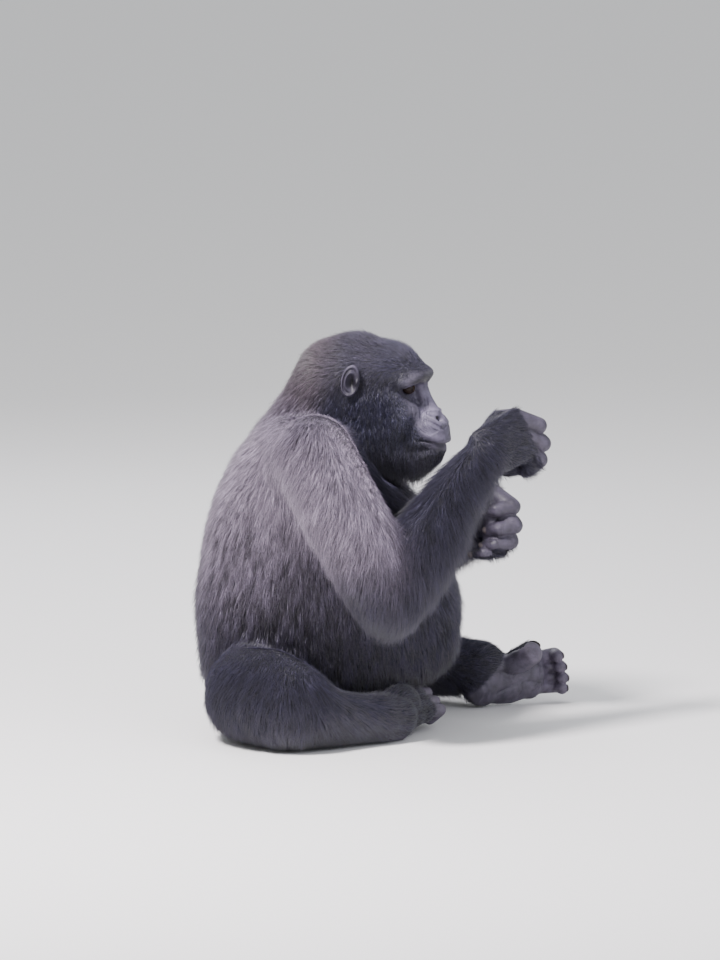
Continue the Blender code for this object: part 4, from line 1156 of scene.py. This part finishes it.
def makeNails(name):
    given = nailSettings
    place = np.array(extremities[name][0])
    axes = intoExtremity(name, place[None])[1]
    made = bmesh.new()
    for line, radii in digitsOf(name):
        world = [place + p @ axes for p in line]
        ahead = unit(world[-1] - world[-2])
        bent = unit(world[-2] - world[-3]) - ahead
        if len(line) == 3 and radii[0] > given["thumbRadius"]:  # a thumb or a big toe
            bent = axes[2] if name.startswith("hand") else -axes[2]
        back = unit(bent - ahead * (bent @ ahead))
        across = np.cross(back, ahead)
        r = radii[-1]
        middle = world[-1] + ahead * r * given["ahead"] + back * (r - given["sink"])
        for v in unitBall(made, given):
            a, b, c = v.co
            a, b, c = a * given["long"] * r, b * given["wide"] * r, c * given["thick"]
            c -= b * b / (2 * r) + max(a, 0) ** 2 / (2 * r)
            v.co = Vector(middle + ahead * a + across * b + back * c)
    bmesh.ops.recalc_face_normals(made, faces=made.faces)
    mesh = meshFrom(made, "nails_" + name)
    mesh.materials.append(nailMaterial)
    nails = addObject("nails_" + name, mesh)
    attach(nails, "root")


for name in extremities:
    makeNails(name)
report("nails")
skinMaterial = makeMaterial("bareSkin", skinFinish, describeSkin)
coatMaterial = makeMaterial("coatHair", coatFinish, describeCoat)
skin.data.materials.clear()
skin.data.materials.append(skinMaterial)

# the coat: tapered three-sided tufts, set over the skin by a node tree
tuftSettings = {
    "corners": ((0.0, -0.5, 0.0), (0.0, 0.5, 0.0), (0.0, 0.0, 0.42)), "tip": (1, 0, 0.05),
    "sideMarks": ((0, 0), (0, 1), (1, 0.5)), "baseMarks": ((0, 0), (0.15, 0.5), (0, 1)),
}


def makeTuft():
    # a unit tuft along x, with its own layout in tuftUV
    made = bmesh.new()
    layer = made.loops.layers.uv.new("tuftUV")
    root = [made.verts.new(corner) for corner in tuftSettings["corners"]]
    tip = made.verts.new(tuftSettings["tip"])
    for k in range(3):
        side = made.faces.new((root[k], root[(k + 1) % 3], tip))
        for loop, (u, v) in zip(side.loops, tuftSettings["sideMarks"]):
            loop[layer].uv = (u, (k + v) / 3)
    base = made.faces.new(root[::-1])
    for loop, mark in zip(base.loops, tuftSettings["baseMarks"]):
        loop[layer].uv = mark
    bmesh.ops.recalc_face_normals(made, faces=made.faces)
    mesh = meshFrom(made, "fineTuft")
    setAttribute(mesh, "along", "FLOAT", [v.co.x for v in mesh.vertices])
    return bpy.data.objects.new("fineTuft", mesh)


hairSettings = {
    # the seeds of the random choices, and then the two ends of each
    "seeds": {"stray": 3, "length": 5, "width": 7, "lift": 11, "bend": 13, "shade": 17},
    "length": (0.72, 1.22), "width": (0.7, 1.25), "lift": (0.25, 1.0), "shade": (0.50, 1.50),
    "stray": ((-1, -1, -1), (1, 1, 1)), "bend": ((-1, -1, -1), (1, 1, 0.6)), "bendShare": 0.10,
    "clumpDetail": 1.5, "lockDetail": 2.0, "lockFiner": 1.5, "lockDrawnOut": 0.92, "lockEdge": (0.32, 0.68),
    # by lock the tone is a painted highlight where a lock stands up and painted shade in the gaps between
    # locks
    "lockLift": (0.55, 0.60), "lockShade": (1.55, 0.28),  # how much each varies by lock, and its least
    # painted shade: a tuft is darker towards its root
    "shadeAlong": (0.62, 0.5), "floorGap": (0.0015, 0.02),
}
coatSockets = (
    ("Tuft", "Object"), ("Tufts per square metre", "Float"), ("Length", "Float"), ("Width", "Float"),
    ("Clump size", "Float"), ("Clump turn", "Float"), ("Stray", "Float"), ("Patch", "Float"),
    ("Seed", "Int"), ("Material", "Material"),
)


def makeCoatTree():
    tree = bpy.data.node_groups.new("furCoat", "GeometryNodeTree")
    tree.interface.new_socket("Geometry", in_out="INPUT", socket_type="NodeSocketGeometry")
    for name, kind in coatSockets:
        tree.interface.new_socket(name, in_out="INPUT", socket_type="NodeSocket" + kind)
    tree.interface.new_socket("Geometry", in_out="OUTPUT", socket_type="NodeSocketGeometry")
    given = tree.nodes.new("NodeGroupInput").outputs
    result = tree.nodes.new("NodeGroupOutput").inputs
    add, maths, vectors, scaled = nodeTools(tree)

    def attribute(name, kind="FLOAT"):
        return add("GeometryNodeInputNamedAttribute", {"Name": name}, data_type=kind)["Attribute"]

    def chance(name, kind="FLOAT"):
        first, output = {"FLOAT_VECTOR": (0, 0), "FLOAT": (2, 1)}[kind]
        low, high = hairSettings[name]
        sockets = {"Seed": hairSettings["seeds"][name], first: low, first + 1: high}
        return add("FunctionNodeRandomValue", sockets, data_type=kind)[output]

    def store(geometry, name, value, kind, domain="POINT"):
        sockets = {"Geometry": geometry, "Name": name, "Value": value}
        return add("GeometryNodeStoreNamedAttribute", sockets, data_type=kind, domain=domain)["Geometry"]

    # roots, and the way that each tuft points
    thick = maths("MULTIPLY", attribute("furShare"), given["Tufts per square metre"])
    scatter = {"Mesh": given["Geometry"], "Seed": given["Seed"], "Density": thick}
    scatter = add("GeometryNodeDistributePointsOnFaces", scatter, distribute_method="RANDOM")
    normal = scatter["Normal"]
    place = add("GeometryNodeInputPosition")["Position"]
    clump = {"Vector": place, "Detail": hairSettings["clumpDetail"],
             "Scale": maths("DIVIDE", 1.0, given["Clump size"])}
    sway = vectors("SUBTRACT", add("ShaderNodeTexNoise", clump)["Color"], (0.5, 0.5, 0.5))
    stray = scaled(chance("stray", "FLOAT_VECTOR"), given["Stray"])
    lie = attribute("furFlow", "FLOAT_VECTOR")
    lay = vectors("ADD", lie, vectors("ADD", scaled(sway, given["Clump turn"]), stray))
    turn = {"Primary Axis": normal, "Secondary Axis": lay}
    turn = add("FunctionNodeAxesToRotation", turn, primary_axis="Z", secondary_axis="X")["Rotation"]

    # its size, and the lock that it belongs to, drawn out along the coat
    reach = maths("MULTIPLY", maths("MULTIPLY", attribute("furLength"), given["Length"]), chance("length"))
    broad = maths("MULTIPLY", maths("MULTIPLY", attribute("furWidth"), given["Width"]), chance("width"))
    size = add("ShaderNodeCombineXYZ", {"X": reach, "Y": broad, "Z": broad})["Vector"]
    dot = add("ShaderNodeVectorMath", {0: place, 1: lie}, operation="DOT_PRODUCT")["Value"]
    drawnOut = vectors("SUBTRACT", place, scaled(lie, maths("MULTIPLY", dot, hairSettings["lockDrawnOut"])))
    lock = {"Vector": drawnOut, "Detail": hairSettings["lockDetail"],
            "Scale": maths("DIVIDE", hairSettings["lockFiner"], given["Clump size"])}
    locks = mapped(add, add("ShaderNodeTexNoise", lock)["Fac"], 0.0, 1.0, *hairSettings["lockEdge"])
    rise = maths("MULTIPLY", attribute("furLift"), chance("lift"))
    rise = maths("MULTIPLY", rise, maths("MULTIPLY_ADD", locks, *hairSettings["lockLift"]))
    bend = scaled(chance("bend", "FLOAT_VECTOR"), maths("MULTIPLY", reach, hairSettings["bendShare"]))
    # a tuft's tone varies at random, and by its lock: painted highlight where the lock stands up, painted
    # shade in the gaps
    toneAndLockShade = maths("MULTIPLY", chance("shade"), maths("MULTIPLY_ADD", locks, *hairSettings["lockShade"]))
    roots = store(scatter["Points"], "lift", scaled(normal, rise), "FLOAT_VECTOR")
    roots = store(roots, "bend", bend, "FLOAT_VECTOR")
    roots = store(roots, "shade", toneAndLockShade, "FLOAT")
    shape = add("GeometryNodeObjectInfo", {"Object": given["Tuft"]})["Geometry"]
    setOut = {"Points": roots, "Instance": shape, "Rotation": turn, "Scale": size}
    setOut = add("GeometryNodeInstanceOnPoints", setOut)["Instances"]
    real = add("GeometryNodeRealizeInstances", {"Geometry": setOut})["Geometry"]

    # each tuft arches up and bends, and stays over the floor
    along = attribute("along")
    up = scaled(attribute("lift", "FLOAT_VECTOR"), maths("MULTIPLY", along, maths("SUBTRACT", 2.0, along)))
    swing = scaled(attribute("bend", "FLOAT_VECTOR"), maths("MULTIPLY", along, along))
    raised = {"Geometry": real, "Offset": vectors("ADD", up, swing)}
    raised = add("GeometryNodeSetPosition", raised)["Geometry"]
    parts = add("ShaderNodeSeparateXYZ", {"Vector": place})
    least, slope = hairSettings["floorGap"]
    height = maths("MAXIMUM", parts["Z"], maths("ADD", least, maths("MULTIPLY", parts["Z"], slope)))
    above = add("ShaderNodeCombineXYZ", {"X": parts["X"], "Y": parts["Y"], "Z": height})["Vector"]
    hairs = add("GeometryNodeSetPosition", {"Geometry": raised, "Position": above})["Geometry"]

    # its layout and colour, darker towards the root as painted shade
    patch = vectors("SUBTRACT", attribute("tuftUV", "FLOAT_VECTOR"), (0.5, 0.5, 0.0))
    patch = vectors("ADD", attribute("skinUV", "FLOAT_VECTOR"), scaled(patch, given["Patch"]))
    hairs = store(hairs, "OFBake", patch, "FLOAT2", "CORNER")
    least, more = hairSettings["shadeAlong"]
    shade = maths("MULTIPLY", attribute("shade"), maths("ADD", least, maths("MULTIPLY", along, more)))
    # the coat's tint carries its painted sunlight and sheen into each tuft
    hairs = store(hairs, "coatTint", scaled(attribute("furTint", "FLOAT_VECTOR"), shade), "FLOAT_COLOR")
    dress = {"Geometry": hairs, "Material": given["Material"]}
    tree.links.new(add("GeometryNodeSetMaterial", dress)["Geometry"], result["Geometry"])
    return tree


fineTuft = makeTuft()
coatTree = makeCoatTree()
socketOf = {item.name: item.identifier for item in coatTree.interface.items_tree if item.in_out == "INPUT"}
faceCorners = np.array([tuple(p.vertices)[:3] for p in skin.data.polygons])
faceOwner = belongs[faceCorners].mean(axis=1).argmax(axis=1)
# what the pieces share, and then one dictionary for each piece
coatCommon = {
    "Tuft": fineTuft, "Length": 1.0, "Clump size": 0.022, "Clump turn": 0.9, "Stray": 0.16, "Patch": 0.003,
    "Material": coatMaterial,
}
growSettings = {"bald": 0.01, "quickThick": 0.4, "quickWidth": 1.5, "unwrapAngle": 66, "unwrapGap": 0.004}
coatPieces = {
    "coat_head": {"on": ("head", "ear_left", "ear_right"), "Tufts per square metre": 340000.0, "Width": 0.72,
                  "Clump size": 0.014, "Clump turn": 0.6},
    "coat_neck": {"on": ("neck",), "Tufts per square metre": 240000.0, "Width": 0.75,
                  "Clump size": 0.016, "Clump turn": 0.7},
    "coat_chest": {"on": ("chest",), "Tufts per square metre": 170000.0, "Width": 0.70,
                   "Clump size": 0.018, "Clump turn": 0.8},
    "coat_belly": {"on": ("belly",), "Tufts per square metre": 110000.0, "Width": 0.75},
    "coat_upper_arm_right": {"on": ("upper_arm_right",), "Tufts per square metre": 235000.0, "Width": 0.62},
    "coat_upper_arm_left": {"on": ("upper_arm_left",), "Tufts per square metre": 175000.0, "Width": 0.68},
    "coat_forearm_right": {"on": ("forearm_right", "hand_right"), "Tufts per square metre": 290000.0,
                           "Width": 0.58},
    "coat_forearm_left": {"on": ("forearm_left", "hand_left"), "Tufts per square metre": 250000.0,
                          "Width": 0.62},
    "coat_leg_right": {"on": ("thigh_right", "shank_right", "foot_right"), "Tufts per square metre": 205000.0,
                       "Width": 0.64},
    "coat_leg_left": {"on": ("thigh_left", "shank_left", "foot_left"), "Tufts per square metre": 195000.0,
                      "Width": 0.66},
}


def unwrap(obj):
    for other in bpy.context.selected_objects:
        other.select_set(False)
    obj.select_set(True)
    bpy.context.view_layer.objects.active = obj
    obj.data.uv_layers.active = obj.data.uv_layers.new(name="skinUV")
    bpy.ops.object.mode_set(mode="EDIT")
    bpy.ops.mesh.select_all(action="SELECT")
    bpy.ops.uv.smart_project(angle_limit=math.radians(growSettings["unwrapAngle"]),
                             island_margin=growSettings["unwrapGap"])
    bpy.ops.object.mode_set(mode="OBJECT")


def growCoat(name, piece, seed):
    nodes = piece["on"]
    wanted = [fleshNodes.index(node) for node in nodes]
    mesh = skin.data.copy()
    made = bmesh.new()
    made.from_mesh(mesh)
    made.faces.ensure_lookup_table()
    drop = [made.faces[i] for i in np.where(~np.isin(faceOwner, wanted))[0]]
    bmesh.ops.delete(made, geom=drop, context="FACES")
    layer = made.verts.layers.float["furShare"]
    bald = [f for f in made.faces if max(v[layer] for v in f.verts) < growSettings["bald"]]
    bmesh.ops.delete(made, geom=bald, context="FACES")
    made.to_mesh(mesh)
    made.free()
    coat = addObject(name, mesh)
    unwrap(coat)
    settings = {**coatCommon, **piece, "Seed": seed}
    del settings["on"]
    grow = coat.modifiers.new("Fur", "NODES")
    grow.node_group = coatTree
    for key, value in settings.items():
        grow[socketOf[key]] = value
    settle(coat)
    for spare in ("skinTint", "foldPhase", "foldDepth", "furTint", "furFlow", "furLength", "furWidth",
                  "furLift", "furShare", "along", "lift", "bend", "shade", "skinUV", "tuftUV"):
        if spare in coat.data.attributes:
            coat.data.attributes.remove(coat.data.attributes[spare])
    coat.data.uv_layers["OFBake"].active_render = True
    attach(coat, "root")
    "coat_back" if "chest" in nodes or "upper_arm" in nodes[0] else "coat_black"
    report("%s: %d faces" % (name, len(coat.data.polygons)))


for seed, (pieceName, piece) in enumerate(coatPieces.items()):
    growCoat(pieceName, piece, seed + 1)
bpy.data.objects.remove(fineTuft)

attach(skin, "root")
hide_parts(*fleshNodes)

# floor, lights and camera
floorSettings = {"reach": 80, "finish": {"Base Color": (0.86, 0.85, 0.84, 1), "Roughness": 0.9}}
lightSettings = {
    "key": {"place": (-1.7, -2.0, 3.6), "size": 0.9, "power": 420, "colour": (1.0, 0.95, 0.98)},
    "fill": {"place": (2.8, -3.0, 2.0), "size": 3.0, "power": 60, "colour": (0.86, 0.87, 1.0)},
    "back": {"place": (-1.0, 3.0, 2.6), "size": 2.0, "power": 60, "colour": (0.93, 0.93, 1.0)},
}
worldSettings = {"Color": (0.90, 0.92, 0.95, 1), "Strength": 0.85}
lightsAim = (0, 0, 0.4)
cameraSettings = {"aim": (-0.045, 0.0, 0.493), "elevation": 8.0, "distance": 25.0, "metresHigh": 1.92,
                  "sensor": 36, "clipEnd": 120}


def turnTo(obj, way):
    obj.rotation_euler = way.to_track_quat("-Z", "Y").to_euler()


far = floorSettings["reach"]
floorMesh = bpy.data.meshes.new("floor")
floorMesh.from_pydata([(-far, -far, 0), (far, -far, 0), (far, far, 0), (-far, far, 0)], [], [(0, 1, 2, 3)])
floorMesh.materials.append(makeMaterial("paleFloor", floorSettings["finish"], None))
floor = addObject("floor", floorMesh)

for lightName, light in lightSettings.items():
    data = bpy.data.lights.new(lightName, "AREA")
    data.shape = "DISK"
    data.size = light["size"]
    data.energy = light["power"]
    data.color = light["colour"]
    lamp = addObject(lightName, data)
    lamp.location = light["place"]
    turnTo(lamp, Vector(lightsAim) - Vector(light["place"]))
world = bpy.data.worlds.new("studio")
world.use_nodes = True
for key, value in worldSettings.items():
    world.node_tree.nodes["Background"].inputs[key].default_value = value
bpy.context.scene.world = world

cameraData = bpy.data.cameras.new("camera")
cameraData.sensor_fit = "VERTICAL"
cameraData.sensor_height = cameraSettings["sensor"]
cameraData.lens = cameraSettings["sensor"] * cameraSettings["distance"] / cameraSettings["metresHigh"]
cameraData.clip_end = cameraSettings["clipEnd"]
tilt = math.radians(cameraSettings["elevation"])
away = Vector((0, -math.cos(tilt), math.sin(tilt))) * cameraSettings["distance"]
camera = addObject("camera", cameraData)
camera.location = Vector(cameraSettings["aim"]) + away
turnTo(camera, -away)
bpy.context.scene.camera = camera

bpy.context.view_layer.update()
report("done")
